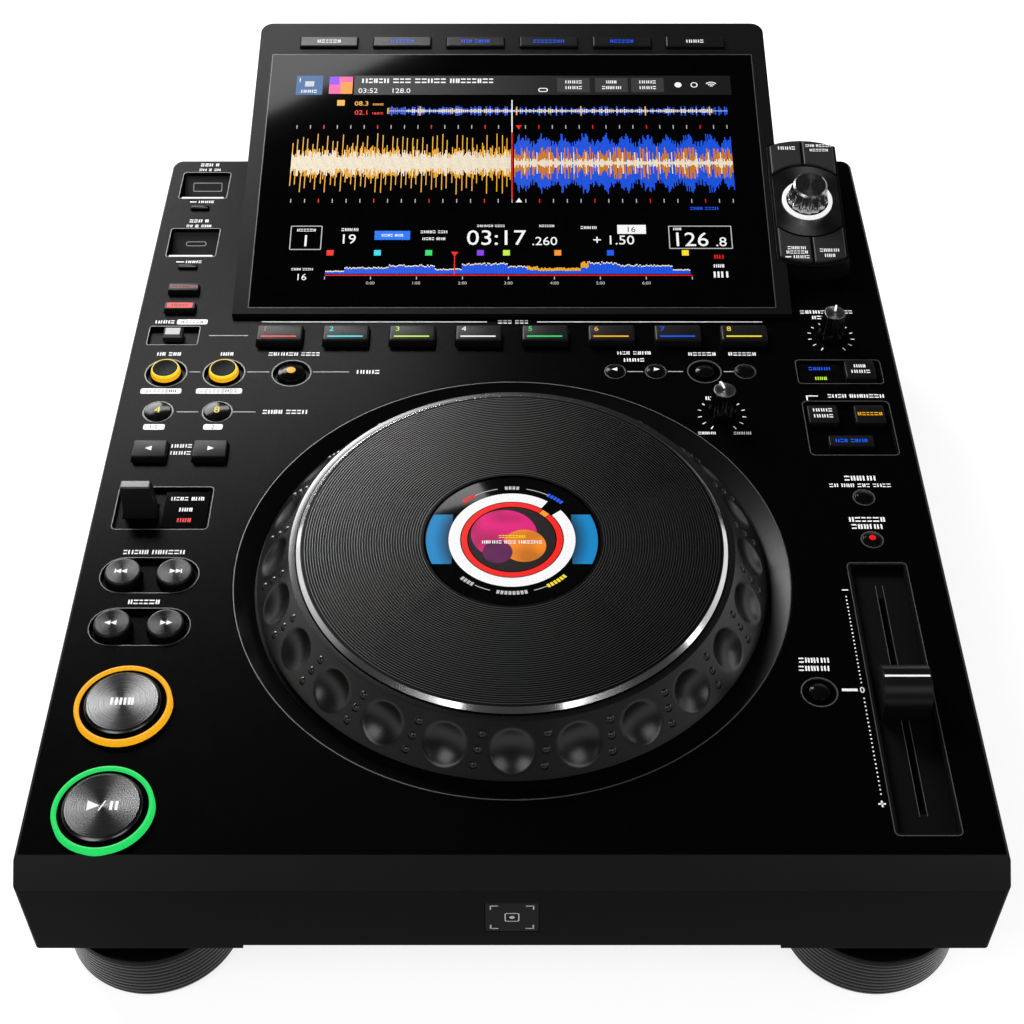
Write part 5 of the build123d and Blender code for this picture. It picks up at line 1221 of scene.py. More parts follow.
    def arcs(self, seat: Surface) -> None:
        """Thin arcs and blocks round the white ring."""
        lines = Piece("jog_lens_arcs", Glow.SOFT_WHITE)
        for middle, half in ((112, 10), (68, 10), (-114, 6.5), (-66, 6.5)):
            lines.add(arc_band(26.6, 26.9, radians(middle - half), radians(middle + half), 16), seat.place())
        lines.done()
        for name, angle, count, glow in (
            ("top", 90, 4, Glow.SOFT_WHITE), ("red", 128, 4, Glow.RED), ("blue", 52, 5, Glow.BLUE),
            ("lower_left", -128, 4, Glow.SOFT_WHITE), ("bottom", -90, 8, Glow.SOFT_WHITE),
            ("yellow", -52, 6, Glow.YELLOW),
        ):
            blocks = Piece(f"jog_blocks_{name}", glow)
            for i in range(count):
                swing = radians(angle) + (i - (count - 1) / 2) * self.block_pitch * (1 if angle < 0 else -1)
                u, v = self.arc_radius * cos(swing), self.arc_radius * sin(swing)
                blocks.add(slab(1.05, 1.7, 0, HAIR), seat.place(u, v, 0, swing - pi / 2))
            blocks.done()


# ---- print


@dataclass(frozen=True)
class Row:
    """A printed row: its middle, the number of blocks in each word and the height of a block."""

    u: float
    v: float
    words: tuple[int, ...]
    height: float = 2.1


def rows_piece(
    name: str, finish: Finish | Glow, rows: Iterable[Row], face: Surface, body: str = CHASSIS, rise: float = 0.0
) -> None:
    """Makes one piece of several printed rows.

    Args:
        name: Plain name of the piece.
        finish: Its ink or light.
        rows: The rows.
        face: The face that they are printed on.
        body: The body that they move with.
        rise: Height of the printed face above that face.
    """
    piece = Piece(name, finish, body)
    for row in rows:
        piece.add(caption(row.words, row.height), face.place(row.u, row.v, rise))
    piece.done()


def top_of(node: str) -> float:
    """Height of a CAD node's highest corner above the deck, in millimetres."""
    return (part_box(node)[1].z - DECK.origin.z) / MM


@dataclass
class DeckPrint:
    """Rows of blocks, fine lines, pills and the tempo scale on the deck."""

    white: tuple[Row, ...] = (
        Row(-147.1, 394.7, (3, 1)), Row(-146.6, 390.6, (2, 1, 2), 1.7),
        Row(-146.8, 349.7, (3, 1)), Row(-146.4, 345.8, (2, 1, 3), 1.7),
        Row(-145.2, 364.6, (4,), 1.7), Row(-145.4, 318.8, (4,), 1.7),
        Row(-152.6, 276.4, (4,), 2.0), Row(-147.9, 255.0, (2, 3)), Row(-122.9, 255.0, (3,)),
        Row(-94.0, 255.0, (6, 4)), Row(-61.4, 243.4, (4,), 2.3), Row(-94.6, 218.4, (4, 4), 2.3),
        Row(-134.9, 198.0, (4,), 2.0), Row(-134.9, 193.9, (4,), 2.0),
        Row(-137.8, 139.3, (5, 6)), Row(-138.0, 114.0, (6,)), Row(0.4, 276.4, (3, 3), 2.2),
        Row(52.6, 255.7, (3, 4)), Row(52.4, 251.1, (4,)), Row(81.9, 255.0, (6,)), Row(99.2, 255.0, (6,)),
        Row(139.0, 283.2, (5, 5), 2.2), Row(138.5, 279.4, (6,), 2.2), Row(87.4, 230.4, (3,), 2.2),
        Row(87.4, 226.8, (6,), 2.2), Row(80.2, 205.6, (5,), 1.5), Row(94.8, 205.6, (5,), 1.5),
        Row(144.6, 228.2, (4, 7)), Row(139.5, 179.4, (5,), 2.6), Row(139.0, 175.4, (2, 3, 3, 4), 1.9),
        Row(139.1, 156.6, (6,), 2.5), Row(138.6, 152.8, (5,), 2.5), Row(109.8, 86.0, (5,), 2.3),
        Row(109.4, 82.2, (5,), 2.3),
    )
    lines: tuple[Block, ...] = (
        (-60.5, 276.4, 99.0, 0.55), (60.5, 276.4, 99.0, 0.55), (-151.4, 364.6, 3.0, 0.6), (-151.6, 318.8, 3.6, 0.6),
        (121.0, 72.4, 5.6, 1.2), (126.4, 228.2, 4.4, 0.6), (123.9, 227.0, 0.6, 3.0), (125.6, 119.9, 2.4, 0.5),
        (125.4, 23.7, 2.6, 0.6), (125.4, 23.7, 0.6, 2.6),
    )
    grey_lines: tuple[Block, ...] = (
        (-108.2, 243.4, 9.4, 0.45), (-77.2, 243.4, 15.4, 0.45), (-111.6, 218.4, 9.4, 0.45),
        (52.6, 243.6, 6.6, 0.45), (69.8, 243.6, 6.4, 0.45), (92.4, 243.6, 4.4, 0.45), (-135.2, 218.4, 9.0, 0.45),
        (-135.2, 243.4, 4.6, 0.45), (-123.6, 267.2, 17.0, 0.45),
    )
    pills: tuple[tuple[float, float, float], ...] = (
        (-148.1, 231.3, 17.2), (-123.6, 231.3, 19.4), (-147.9, 209.3, 8.8), (-123.5, 209.3, 8.0), (-140.6, 276.4, 13.4),
    )
    pill_texts: tuple[str, ...] = ("", "", "1/2", "2", "")
    pill_height: float = 3.3
    scale_across: float = 125.6
    scale: tuple[float, float] = (27.7, 116.6)
    scale_dots: int = 51
    dot: float = 0.55
    zero_gap: float = 2.6

    def build(self) -> None:
        """Prints the deck."""
        rows_piece("deck_white_print", WHITE_INK, self.white, DECK)
        lines = Piece("deck_white_lines", WHITE_INK)
        lines.add(boxes(self.lines), DECK.place()).add(boxes(self.scale_rows()), DECK.place())
        lines.add(numeral("0", 2.6), DECK.place(125.5, 72.4)).done()
        Piece("deck_grey_lines", GREY_INK).add(boxes(self.grey_lines), DECK.place()).done()
        self.pill_labels()

    def scale_rows(self) -> list[Block]:
        """The dots of the tempo scale, with a gap at its zero."""
        low, high = self.scale
        middle = (low + high) / 2
        places = [low + (high - low) * i / (self.scale_dots - 1) for i in range(self.scale_dots)]
        return [(self.scale_across, v, self.dot, self.dot) for v in places if abs(v - middle) > self.zero_gap]

    def pill_labels(self) -> None:
        """White pills with dark blocks or plain figures on them."""
        white = Piece("deck_white_pills", WHITE_INK)
        black = Piece("deck_pill_print", BLACK_INK)
        for (u, v, width), text in zip(self.pills, self.pill_texts):
            white.add(slab(width, self.pill_height, 0, HAIR, 0.9), DECK.place(u, v))
            shape = numeral(text, 2.1, 0.02) if text else caption((round(width / 2.2),), 1.7, 0.02)
            black.add(shape, DECK.place(u, v, HAIR))
        white.done()
        black.done()


@dataclass
class RecessTrim:
    """The moulded edges round the recesses, and the collars of the round holes, in a lighter plastic: a painted
    highlight where the edges catch the light.
    """

    line: float = 0.35
    rise: float = 0.1
    frames: tuple[tuple[float, float, float, float, float], ...] = (
        (-147.4, 377.8, 22.4, 20.9, 1.2), (-147.4, 333.2, 22.4, 20.9, 1.2), (-147.6, 267.2, 21.6, 12.0, 0.8),
        (-137.6, 162.9, 37.2, 22.8, 1.5), (-137.9, 127.4, 37.3, 17.5, 8.75), (-137.9, 101.9, 37.3, 17.5, 8.75),
        (139.6, 243.5, 35.8, 14.7, 1.5), (139.6, 208.8, 35.8, 31.9, 1.8), (139.4, 72.4, 22.3, 122.2, 1.6),
    )
    recesses: tuple[tuple[float, float, float], ...] = (
        (-147.5, 242.6, 8.8), (-122.8, 242.6, 8.8), (-94.0, 242.6, 8.2), (82.1, 243.6, 7.1), (110.02, 71.4, 6.4),
    )
    holes: tuple[tuple[float, float, float], ...] = (
        (-147.5, 218.4, 5.6), (-122.8, 218.4, 5.6), (44.0, 243.6, 3.9), (61.3, 243.6, 3.9), (99.5, 243.6, 3.9),
        (139.6, 168.6, 3.7), (139.6, 145.8, 3.7),
    )

    def build(self) -> None:
        """Lays a fine raised edge round each recess and hole, lighter than the deck as a painted highlight."""
        edge_highlights = Piece("recess_edge_highlights", EDGE_HIGHLIGHT)
        for u, v, width, length, corner in self.frames:
            out = 2 * self.line + 0.1
            edge_highlights.add(rim(width + out, length + out, self.line, -0.3, self.rise, corner + out / 2), DECK.place(u, v))
        collars = [(u, v, 0.972 * radius, radius + 0.3) for u, v, radius in self.recesses]
        collars += [(u, v, radius + 0.2, 1.03 * (radius + 0.3) + 0.35) for u, v, radius in self.holes]
        for u, v, inner, outer in collars:
            edge_highlights.add(collar(inner, outer, -0.6, self.rise, 64), DECK.place(u, v))
        edge_highlights.done()


# ---- keys and buttons


@dataclass(frozen=True)
class Cap:
    """A round button.

    Attributes:
        node: The CAD node that it stands for.
        places: Middles of its caps on the deck.
        radius: Radius of a cap.
        crown: Height of the domed middle, less than 0 for a dish.
        finish: Its finish.
        slot: Its slot in the record.
    """

    node: str
    places: tuple[Place, ...]
    radius: float
    crown: float
    finish: Finish
    slot: str = "key_plastic"

    def build(self) -> float:
        """Turns the caps.

        Returns:
            Height of their middles above the deck, in millimetres.
        """
        top = top_of(self.node)
        piece = Piece(self.node + "_cap", self.finish, self.node)
        face = top - max(self.crown, 0.0)
        for place in self.places:
            piece.add(cap(self.radius, face, min(0.6, 0.1 * self.radius), self.crown, CAP_FOOT), DECK.place(*place))
        piece.done(self.slot, [self.node])
        return face + self.crown


@dataclass(frozen=True)
class SquareKey:
    """A rectangular key with round corners.

    Attributes:
        node: The CAD node that it stands for.
        places: Middles of its keys on the deck.
        width: Size across.
        length: Size along.
        finish: Its finish.
        slot: Its slot in the record.
        corner: Radius of the upright corners.
        edge: Radius round the top.
    """

    node: str
    places: tuple[Place, ...]
    width: float
    length: float
    finish: Finish
    slot: str
    corner: float = 0.9
    edge: float = 0.4

    def build(self) -> float:
        """Makes the keys.

        Returns:
            Height of their tops above the deck, in millimetres.
        """
        top = top_of(self.node)
        piece = Piece(self.node + "_cap", self.finish, self.node)
        for place in self.places:
            piece.add(slab(self.width, self.length, KEY_FOOT, top, self.corner, self.edge), DECK.place(*place))
        piece.done(self.slot, [self.node])
        return top


@dataclass
class MemoryPorts:
    """Two recesses with a sloping face, a port and a stop key each, and the two mode keys."""

    across: float = -147.4
    middles: tuple[float, float] = (377.8, 333.2)
    width: float = 22.4
    length: float = 20.9
    depth: float = 8.5
    shallow: float = 2.0
    stop_key_set: float = 18.6
    mode_across: float = -146.9
    mode_middles: tuple[float, float] = (297.9, 284.9)

    def build(self) -> None:
        """Lines the recesses and makes the keys."""
        dress(DARK_CHROME, "usb_ports")
        self.slopes()
        self.stop_keys()
        self.mode_keys()

    def slopes(self) -> None:
        """The grey sloping face with its outlined icon, a black strip of painted shade in the slot and the light front
        edge.
        """
        faces = Piece("usb_slopes", KEY_GREY)
        icons = Piece("usb_icons", GREY_INK)
        painted_shades = Piece("usb_slot_painted_shade", DEEP_BLACK)
        edges = Piece("usb_front_edges", Glow.WHITE)
        drop = self.depth - self.shallow
        run = hypot(self.length / 2, drop)
        along = Vector((0, self.length / 2, drop)).normalized()
        for v, icon in zip(self.middles, ((14.0, 4.6, 0.6), (9.6, 2.4, 1.15))):
            seat = DECK.point(self.across, v + self.length / 4, -(self.depth + self.shallow) / 2)
            slope = Surface(seat, X_AXIS, along)
            faces.add(slab(self.width - 0.4, run - 0.2, 0, 0.15, 0.3), slope.place())
            icons.add(rim(icon[0], icon[1], 0.4, 0.15, 0.2, icon[2]), slope.place(0, 0.4))
            # A black strip on the recess floor in front of the sloping face: painted shade.
            painted_shades.add(boxes([(0, 0, self.width - 0.4, 3.4)], 0.1), DECK.place(self.across, v - 1.9, -self.depth))
            front = v - self.length / 2
            edges.add(boxes([(0, 0.6, self.width - 2.6, 1.0)], 0.06, -0.5), DECK.place(self.across, front))
        for piece in (faces, icons, painted_shades, edges):
            piece.done()

    def stop_keys(self) -> None:
        """The small stop keys in front of the recesses."""
        places = tuple((self.across, v - self.stop_key_set) for v in self.middles)
        SquareKey("usb_stop_keys", places, 8.2, 2.2, GLOSS_BLACK, "key_plastic", 0.4, 0.3).build()

    def mode_keys(self) -> None:
        """The two lit mode keys: the first with red blocks, the second red with dark blocks."""
        node = "quantize_slip_keys"
        first, second = places = tuple((self.mode_across, v) for v in self.mode_middles)
        top = SquareKey(node, places, 13.7, 5.0, KEY_BLACK, "key_rubber", 0.6, 0.5).build()
        Piece("mode_key_lights", Glow.DARK_RED, node).add(caption((8,), 1.6), DECK.place(*first, top)).done()
        face = slab(11.2, 3.4, 0, HAIR, 0.3)
        Piece("mode_key_lit_face", Glow.RED, node).add(face, DECK.place(*second, top)).done()
        dark = caption((4,), 1.7, 0.03)
        Piece("mode_key_dark_blocks", BLACK_INK, node).add(dark, DECK.place(*second, top + HAIR)).done()


@dataclass
class HotCuePads:
    """Eight pads, each with a coloured figure and a coloured line."""

    pitch: float = 28.8
    along: float = 265.3
    width: float = 20.1
    length: float = 10.6
    figure_place: Place = (-6.5, 2.4)
    bar_place: Place = (-0.3, -2.6)
    glows: tuple[Glow, ...] = (
        Glow.RED, Glow.CYAN, Glow.LIME, Glow.WHITE, Glow.GREEN, Glow.AMBER, Glow.BLUE, Glow.YELLOW,
    )

    def build(self) -> None:
        """Makes each pad and its light."""
        for i, glow in enumerate(self.glows):
            place = ((i - 3.5) * self.pitch, self.along)
            node = f"hot_cue_pad_{i + 1}"
            key = SquareKey(node, (place,), self.width, self.length, PAD_BLACK, f"pad_rubber_{i + 1}", 1.2, 0.9)
            face = DECK.moved(*place, key.build())
            light = Piece(f"{node}_light", glow, node).add(numeral(str(i + 1), 2.9), face.place(*self.figure_place))
            light.add(slab(15.3, 0.8, 0, HAIR, 0.2), face.place(*self.bar_place)).done()


@dataclass
class LoopControls:
    """Loop in and out, reloop, the beat-loop domes and the beat-jump keys."""

    outer: float = 6.3
    inner: float = 5.9
    columns: Place = (-147.5, -122.8)
    row: float = 242.6
    reloop: float = -94.0
    dome_row: float = 218.4
    jump_columns: Place = (-147.1, -122.6)
    jump_row: float = 193.8

    def build(self) -> None:
        """Makes the buttons and their lights."""
        for node, u in zip(("loop_in_button", "loop_out_button"), self.columns):
            self.loop_button(node, (u, self.row))
        place = (self.reloop, self.row)
        top = Cap("reloop_button", (place,), 5.8, 1.3, DOME_BLACK).build()
        dot = Piece("reloop_light", Glow.AMBER, "reloop_button")
        dot.add(cap(1.9, 0.0, 0.1, 0.14, -0.5), DECK.place(*place, top - 0.06)).done()
        places = tuple((u, self.dome_row) for u in self.columns)
        top = Cap("beat_loop_buttons", places, 5.6, 0.5, DOME_BLACK).build()
        figures = Piece("beat_loop_figures", Glow.YELLOW, "beat_loop_buttons")
        for place, text in zip(places, ("4", "8")):
            figures.add(numeral(text, 3.6), DECK.place(*place, top - 0.02))
        figures.done()
        for way, u, aim in zip(("back", "forward"), self.jump_columns, (pi, 0.0)):
            node = f"beat_jump_{way}_key"
            top = SquareKey(node, ((u, self.jump_row),), 14.0, 10.2, PAD_BLACK, "key_rubber", 1.0, 0.7).build()
            arrow = Piece(f"{node}_arrow", WHITE_INK, node)
            arrow.add(triangle(1.5, aim, 1.2), DECK.place(u, self.jump_row, top)).done()

    def loop_button(self, node: str, place: Place) -> None:
        """A lit lens with a bright edge round a dark dished face."""
        top = top_of(node)
        seat = DECK.place(*place)
        side = [(0, top - 3.0), (self.outer, top - 3.0), (self.outer, top - 2.0), (self.inner, top - 0.9)]
        lens = Piece(f"{node}_lens", Glow.AMBER, node, smooth=25.0)
        lens.add(lathe(side + [(0, top - 0.9)], 64), seat).done("loop_button_plastic", [node])
        base = disc(self.outer - 0.1, CAP_FOOT, top - 3.0, 64)
        Piece(f"{node}_base", DEEP_BLACK, node).add(base, seat).done()
        ring = [(self.inner - 0.6, -2.0), (self.inner + 0.1, -2.0), (self.inner + 0.1, -0.9)]
        ring += [(self.inner - 0.3, -0.1), (self.inner - 0.6, -0.1)]
        edge = Piece(f"{node}_bright_edge", Glow.YELLOW, node)
        edge.add(lathe(ring, 64, closed=True), DECK.place(*place, top)).done()
        face = cap(self.inner - 0.6, top, 0.4, -0.7, top - 1.6)
        Piece(f"{node}_face", DEEP_BLACK, node).add(face, seat).done()


@dataclass
class SmallButtons:
    """Call, delete, memory and tempo buttons."""

    row: float = 243.6
    calls: Place = (44.0, 61.3)
    delete: float = 82.1
    memory: float = 99.5
    tempo: tuple[Place, ...] = ((139.6, 168.6), (139.6, 145.8), (110.02, 71.4))

    def build(self) -> None:
        """Makes the domes and their marks."""
        places = tuple((u, self.row) for u in self.calls)
        top = Cap("call_buttons", places, 3.9, 0.5, DOME_BLACK).build()
        arrows = Piece("call_arrows", WHITE_INK, "call_buttons")
        for place, aim in zip(places, (pi, 0.0)):
            arrows.add(triangle(1.3, aim, 1.25), DECK.place(*place, top - 0.02))
        arrows.done()
        Cap("delete_button", ((self.delete, self.row),), 3.9, 0.8, DOME_BLACK).build()
        Cap("memory_button", ((self.memory, self.row),), 3.9, 0.6, DOME_BLACK).build()
        top = Cap("tempo_buttons", self.tempo, 3.7, 0.8, DOME_BLACK).build()
        dot = Piece("master_tempo_light", Glow.RED, "tempo_buttons")
        dot.add(cap(1.3, 0.0, 0.1, 0.1, -0.5), DECK.place(*self.tempo[1], top - 0.04)).done()


@dataclass
class SyncKeys:
    """The jog mode key, the sync keys and the rows in the lit windows."""

    keys: tuple[tuple, ...] = (  # node, middle, size, corner, glow and printed rows
        ("jog_mode", (148.4, 243.5), (12.6, 11.2), 1.0, Glow.WHITE, (((3,), 2.2, 1.9), ((4,), -1.3, 1.9))),
        ("beat_sync", (129.4, 216.9), (12.4, 10.8), 1.0, Glow.WHITE, (((4,), 2.3, 1.9), ((4,), -1.3, 1.9))),
        ("master", (148.9, 216.9), (12.4, 10.8), 1.0, Glow.AMBER, (((6,), 0.0, 1.8),)),
        ("key_sync", (139.0, 200.8), (18.2, 6.2), 0.8, Glow.BLUE, (((3, 4), 0.0, 1.9),)),
    )
    window: float = -1.0
    window_rows: tuple[tuple[str, Finish | Glow, tuple[Row, ...]], ...] = (
        ("mode_window_blue_row", Glow.BLUE, (Row(131.6, 246.6, (5,), 1.9),)),
        ("mode_window_lime_row", Glow.LIME, (Row(131.6, 240.4, (3,), 1.9),)),
        ("direction_window_rows", WHITE_INK, (Row(-128.8, 168.9, (4, 3), 1.9), Row(-128.8, 162.9, (3,), 2.0))),
        ("direction_window_red_row", Glow.RED, (Row(-128.8, 157.2, (3,), 2.1),)),
    )

    def build(self) -> None:
        """Makes the keys with their rows."""
        for name, (u, v), size, corner, glow, lines in self.keys:
            node = f"{name}_key"
            top = SquareKey(node, ((u, v),), *size, KEY_BLACK, "key_plastic", corner).build()
            rows = [Row(u, v + shift, words, height) for words, shift, height in lines]
            rows_piece(f"{name}_rows", glow, rows, DECK, node, top)
        for name, finish, rows in self.window_rows:
            rows_piece(name, finish, rows, DECK, rise=self.window)


@dataclass
class Transport:
    """Cue and play with their light rings, and the track and search buttons."""

    across: float = -138.0
    cue: float = 64.9
    play: float = 20.9
    track: float = 127.4
    search: float = 101.9
    columns: Place = (-147.75, -128.05)
    play_marks: tuple[float, float, float] = (-3.6, 0.1, 4.1)  # triangle, slash and bars, from the button's middle
    radius: float = 13.6
    ring_inner: float = 15.5
    ring_outer: float = 17.3
    ring_rise: float = 2.2
    small: float = 6.9

    def build(self) -> None:
        """Makes the spun faces, the rings and the marks."""
        for name, v, glow in (("cue", self.cue, Glow.AMBER), ("play", self.play, Glow.GREEN)):
            place = (self.across, v)
            self.face(f"{name}_button", place)
            ring = Piece(f"{name}_ring_light", glow, smooth=60.0)
            ring.add(self.ring_shape(), DECK.place(*place)).done("ring_lens", ["light_rings"])
            gap = collar(self.radius + 0.35, self.ring_inner, -1.4, 1.2, 96)
            Piece(f"{name}_ring_seat", GLOSS_BLACK).add(gap, DECK.place(*place)).done()
        row = Row(self.across, self.cue, (3,), 3.2)
        rows_piece("cue_mark", WHITE_INK, (row,), DECK, "cue_button", top_of("cue_button"))
        face = DECK.moved(self.across, self.play, top_of("play_button"))
        tip, slash, bars = self.play_marks
        mark = Piece("play_mark", WHITE_INK, "play_button").add(triangle(2.4, 0.0, 1.15), face.place(tip))
        mark.add(boxes([(0, 0, 0.5, 4.4)]), face.place(slash, turn=-0.45))
        mark.add(boxes([(-0.9, 0, 1.0, 3.6), (0.9, 0, 1.0, 3.6)]), face.place(bars)).done()
        for family, v in (("track", self.track), ("search", self.search)):
            for way, u, side in zip(("back", "forward"), self.columns, (-1, 1)):
                self.small_button(f"{family}_{way}_button", (u, v), side, bar=family == "track")

    def ring_shape(self) -> Shape:
        """A light ring with a rounded top."""
        inner, outer, rise = self.ring_inner, self.ring_outer, self.ring_rise
        half = (outer - inner) / 2
        dome = [(inner + half + half * cos(i * pi / 8), rise - 0.7 + 0.7 * sin(i * pi / 8)) for i in range(9)]
        return lathe([(inner, -1.4), (outer, -1.4)] + dome, 96, closed=True)

    def face(self, node: str, place: Place) -> None:
        """A spun face with a bright bevel and a black side."""
        top = top_of(node)
        bevel = self.radius - 1.0
        profile = [(0, CAP_FOOT), (self.radius, CAP_FOOT), (self.radius, top - 0.8)]
        profile += [(bevel, top - 0.02), (0, top - 0.1)]
        side = Piece(f"{node}_side", DARK_CHROME, node)
        side.add(lathe(profile, 128), DECK.place(*place)).done("transport_metal", [node])
        self.spun(node, place, bevel, top)

    def spun(self, node: str, place: Place, radius: float, top: float, level: float = 0.17) -> None:
        """A turned face on its own piece, whose grain runs round the button's middle."""
        finish = SpunAt("spun_" + node, grey(level), 0.27, middle=DECK.point(*place))
        face = disc(radius, -0.2, 0, 96)
        Piece(f"{node}_face", finish, node).add(face, DECK.place(*place, top)).done("transport_metal")

    def small_button(self, node: str, place: Place, side: int, bar: bool) -> None:
        """A track or search button with its double arrow."""
        top = top_of(node)
        body = Piece(f"{node}_side", SATIN_BLACK, node)
        body.add(cap(self.small, top - 0.05, 0.7, -0.1, -1.9), DECK.place(*place)).done("transport_metal", [node])
        self.spun(node, place, self.small - 0.9, top, 0.03)
        mark = Piece(f"{node}_mark", WHITE_INK, node)
        aim = 0.0 if side > 0 else pi
        for shift in (-1.0, 1.25):
            mark.add(triangle(1.25, aim, 1.2), DECK.place(place[0] + side * shift, place[1], top))
        if bar:
            mark.add(boxes([(side * 2.7, 0, 0.45, 2.1)]), DECK.place(*place, top))
        mark.done()


@dataclass
class Levers:
    """The direction paddle and the small call and delete lever."""

    def build(self) -> None:
        """Dresses the levers."""
        dress(LEVER_BLACK, "direction_lever", "call_delete_lever")


@dataclass
class Dials:
    """The two rotary dials with their rays of ticks."""

    radius: float = 5.8
    flutes: int = 12
    flute: float = 0.8
    height: float = 13.4
    taper: float = 0.84
    top_radius: float = 4.4
    tick_radius: float = 9.4
    tick_step: int = 25
    dials: tuple[tuple[str, Place, float], ...] = (  # node, middle and direction of the pointer
        ("jog_adjust_knob", (87.3, 217.0), radians(12)), ("vinyl_speed_knob", (138.9, 266.4), radians(-14)),
    )

    def build(self) -> None:
        """Makes both dials and prints their ticks."""
        ticks = Piece("dial_ticks", WHITE_INK)
        for node, place, swing in self.dials:
            self.dial(node, place, swing)
            for i in (*range(-6, 0), *range(1, 7)):
                turn = radians(-i * self.tick_step)
                u, v = place[0] - sin(turn) * self.tick_radius, place[1] + cos(turn) * self.tick_radius
                ticks.add(boxes([(0, 0, 0.45, 1.0 + 0.9 * abs(i) / 6)]), DECK.place(u, v, 0, turn))
        ticks.done()

    def dial(self, node: str, place: Place, swing: float) -> None:
        """One dial: fluted body, spun top and pointer."""
        shape = fluted(self.radius, self.flutes, self.flute, 0.3, self.height, self.taper)
        body = Piece(f"{node}_body", DARK_CHROME, node, smooth=50.0)
        body.add(shape, DECK.place(*place)).done("knob_rubber", [node])
        top = Piece(f"{node}_top", SpunAt("spun_" + node, grey(0.2), 0.3, middle=DECK.point(*place)), node)
        top.add(disc(self.top_radius, -0.2, 0.35, 64, 0.25), DECK.place(*place, self.height)).done()
        seat = DECK.place(*place, self.height, swing)
        pointer = Piece(f"{node}_pointer", WHITE_INK, node).add(boxes([(0, 2.6, 0.9, 3.6)], 0.5, 0.35), seat)
        pointer.add(boxes([(0, self.radius * 0.93, 0.9, 0.8)], -0.2, -9.0), seat).done()


@dataclass
class TempoFader:
    """The trough and the sliding cap."""

    across: float = 139.4
    middle: float = 72.4
    slot: float = 2.2
    travel: float = 104.0
    depth: float = 2.6

    def build(self) -> None:
        """Dresses the trough, marks the cap and lays painted highlights along the slot's edges."""
        node = "tempo_fader_cap"
        dress(DEEP_BLACK, "fader_track")
        dress(SATIN_BLACK, node)
        low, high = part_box(node)
        v = (low.y + high.y) / 2 / MM - DECK.origin.y / MM
        line = DECK.place(self.across, v, top_of(node))
        Piece("fader_line", WHITE_INK, node).add(boxes([(0, 0, 16.0, 0.9)]), line).done()
        # Light lines along the slot's edges: a painted highlight where the edges catch the light.
        rows = [(side * (self.slot / 2 + 0.25), 0, 0.25, self.travel) for side in (-1, 1)]
        floor = DECK.place(self.across, self.middle, top_of("fader_track") - self.depth)
        Piece("fader_slot_edge_highlights", EDGE_HIGHLIGHT).add(boxes(rows, 0.06), floor).done()


@dataclass
class Selector:
    """The keys round the rotary selector, its plate, light ring and knob."""

    plate_radius: float = 20.7
    half: float = 14.8
    plate_rise: float = 0.8
    key_rise: float = 1.5
    ring_outer: float = 11.5
    ring_inner: float = 9.7
    foot: float = 1.9
    height: float = 10.0
    knob_radius: float = 9.2
    flutes: int = 14
    rows: tuple[Row, ...] = (
        Row(-7.0, 31.5, (4,), 1.9), Row(8.0, 33.0, (3, 5), 1.5), Row(8.0, 30.2, (6,), 1.5),
        Row(-7.2, -28.2, (5,), 1.7), Row(-7.2, -30.7, (6,), 1.7), Row(-5.4, -33.4, (4,), 1.7),
        Row(7.4, -29.6, (5,), 1.8), Row(7.4, -32.6, (3,), 1.8),
    )

    def build(self) -> None:
        """Dresses the housing and makes the turned pieces."""
        dress(SATIN_BLACK, "selector_housing")
        dress(KEY_GREY, "selector_keys")
        dress(STEEL, "encoder_shaft")
        rows_piece("selector_rows", WHITE_INK, self.rows, SELECTOR, "selector_keys", self.key_rise)
        dash = Piece("selector_dash", WHITE_INK, "selector_keys")
        dash.add(boxes([(-11.4, -33.4, 2.6, 0.7)]), SELECTOR.place(0, 0, self.key_rise)).done()
        plate = Piece("selector_plate", self.spun("spun_plate", 0.1, 0.3))
        shape = clipped(self.plate_radius, self.half, 0.2, self.plate_rise + 0.05)
        plate.add(shape, SELECTOR.place()).done("selector_plastic")
        profile = [(self.ring_inner, 0.3), (self.ring_outer, 0.3), (self.ring_outer, self.foot - 0.3)]
        profile += [(self.ring_outer - 0.4, self.foot), (self.ring_inner, self.foot)]
        ring = Piece("encoder_light_ring", Glow.WHITE).add(lathe(profile, 96, closed=True), SELECTOR.place())
        ring.done("ring_lens", ["light_rings"])
        self.knob()

    def spun(self, name: str, level: float, roughness: float) -> SpunAt:
        """A turned finish round the selector's own axis."""
        return SpunAt(name, grey(level), roughness, middle=SELECTOR.origin, out=SELECTOR.out)

    def knob(self) -> None:
        """The fluted metallic body and the spun top."""
        foot, top = self.foot, self.foot + self.height
        body = Piece("encoder_knob_body", BRIGHT_CHROME, "encoder_knob", smooth=50.0)
        body.add(fluted(self.knob_radius, self.flutes, 1.2, foot, top - 1.2, 0.86), SELECTOR.place())
        body.add(fluted(self.knob_radius, self.flutes, 0.5, foot, foot + 1.6), SELECTOR.place())
        body.done("knob_rubber", ["encoder_knob"])
        face = Piece("encoder_knob_top", self.spun("spun_knob", 0.26, 0.2), "encoder_knob", smooth=30.0)
        radius = 0.84 * self.knob_radius
        profile = [(0, -1.4), (radius, -1.4), (radius, -0.7), (radius - 0.8, 0), (0, 0)]
        face.add(lathe(profile, 96), SELECTOR.place(0, 0, top - 0.05)).done()


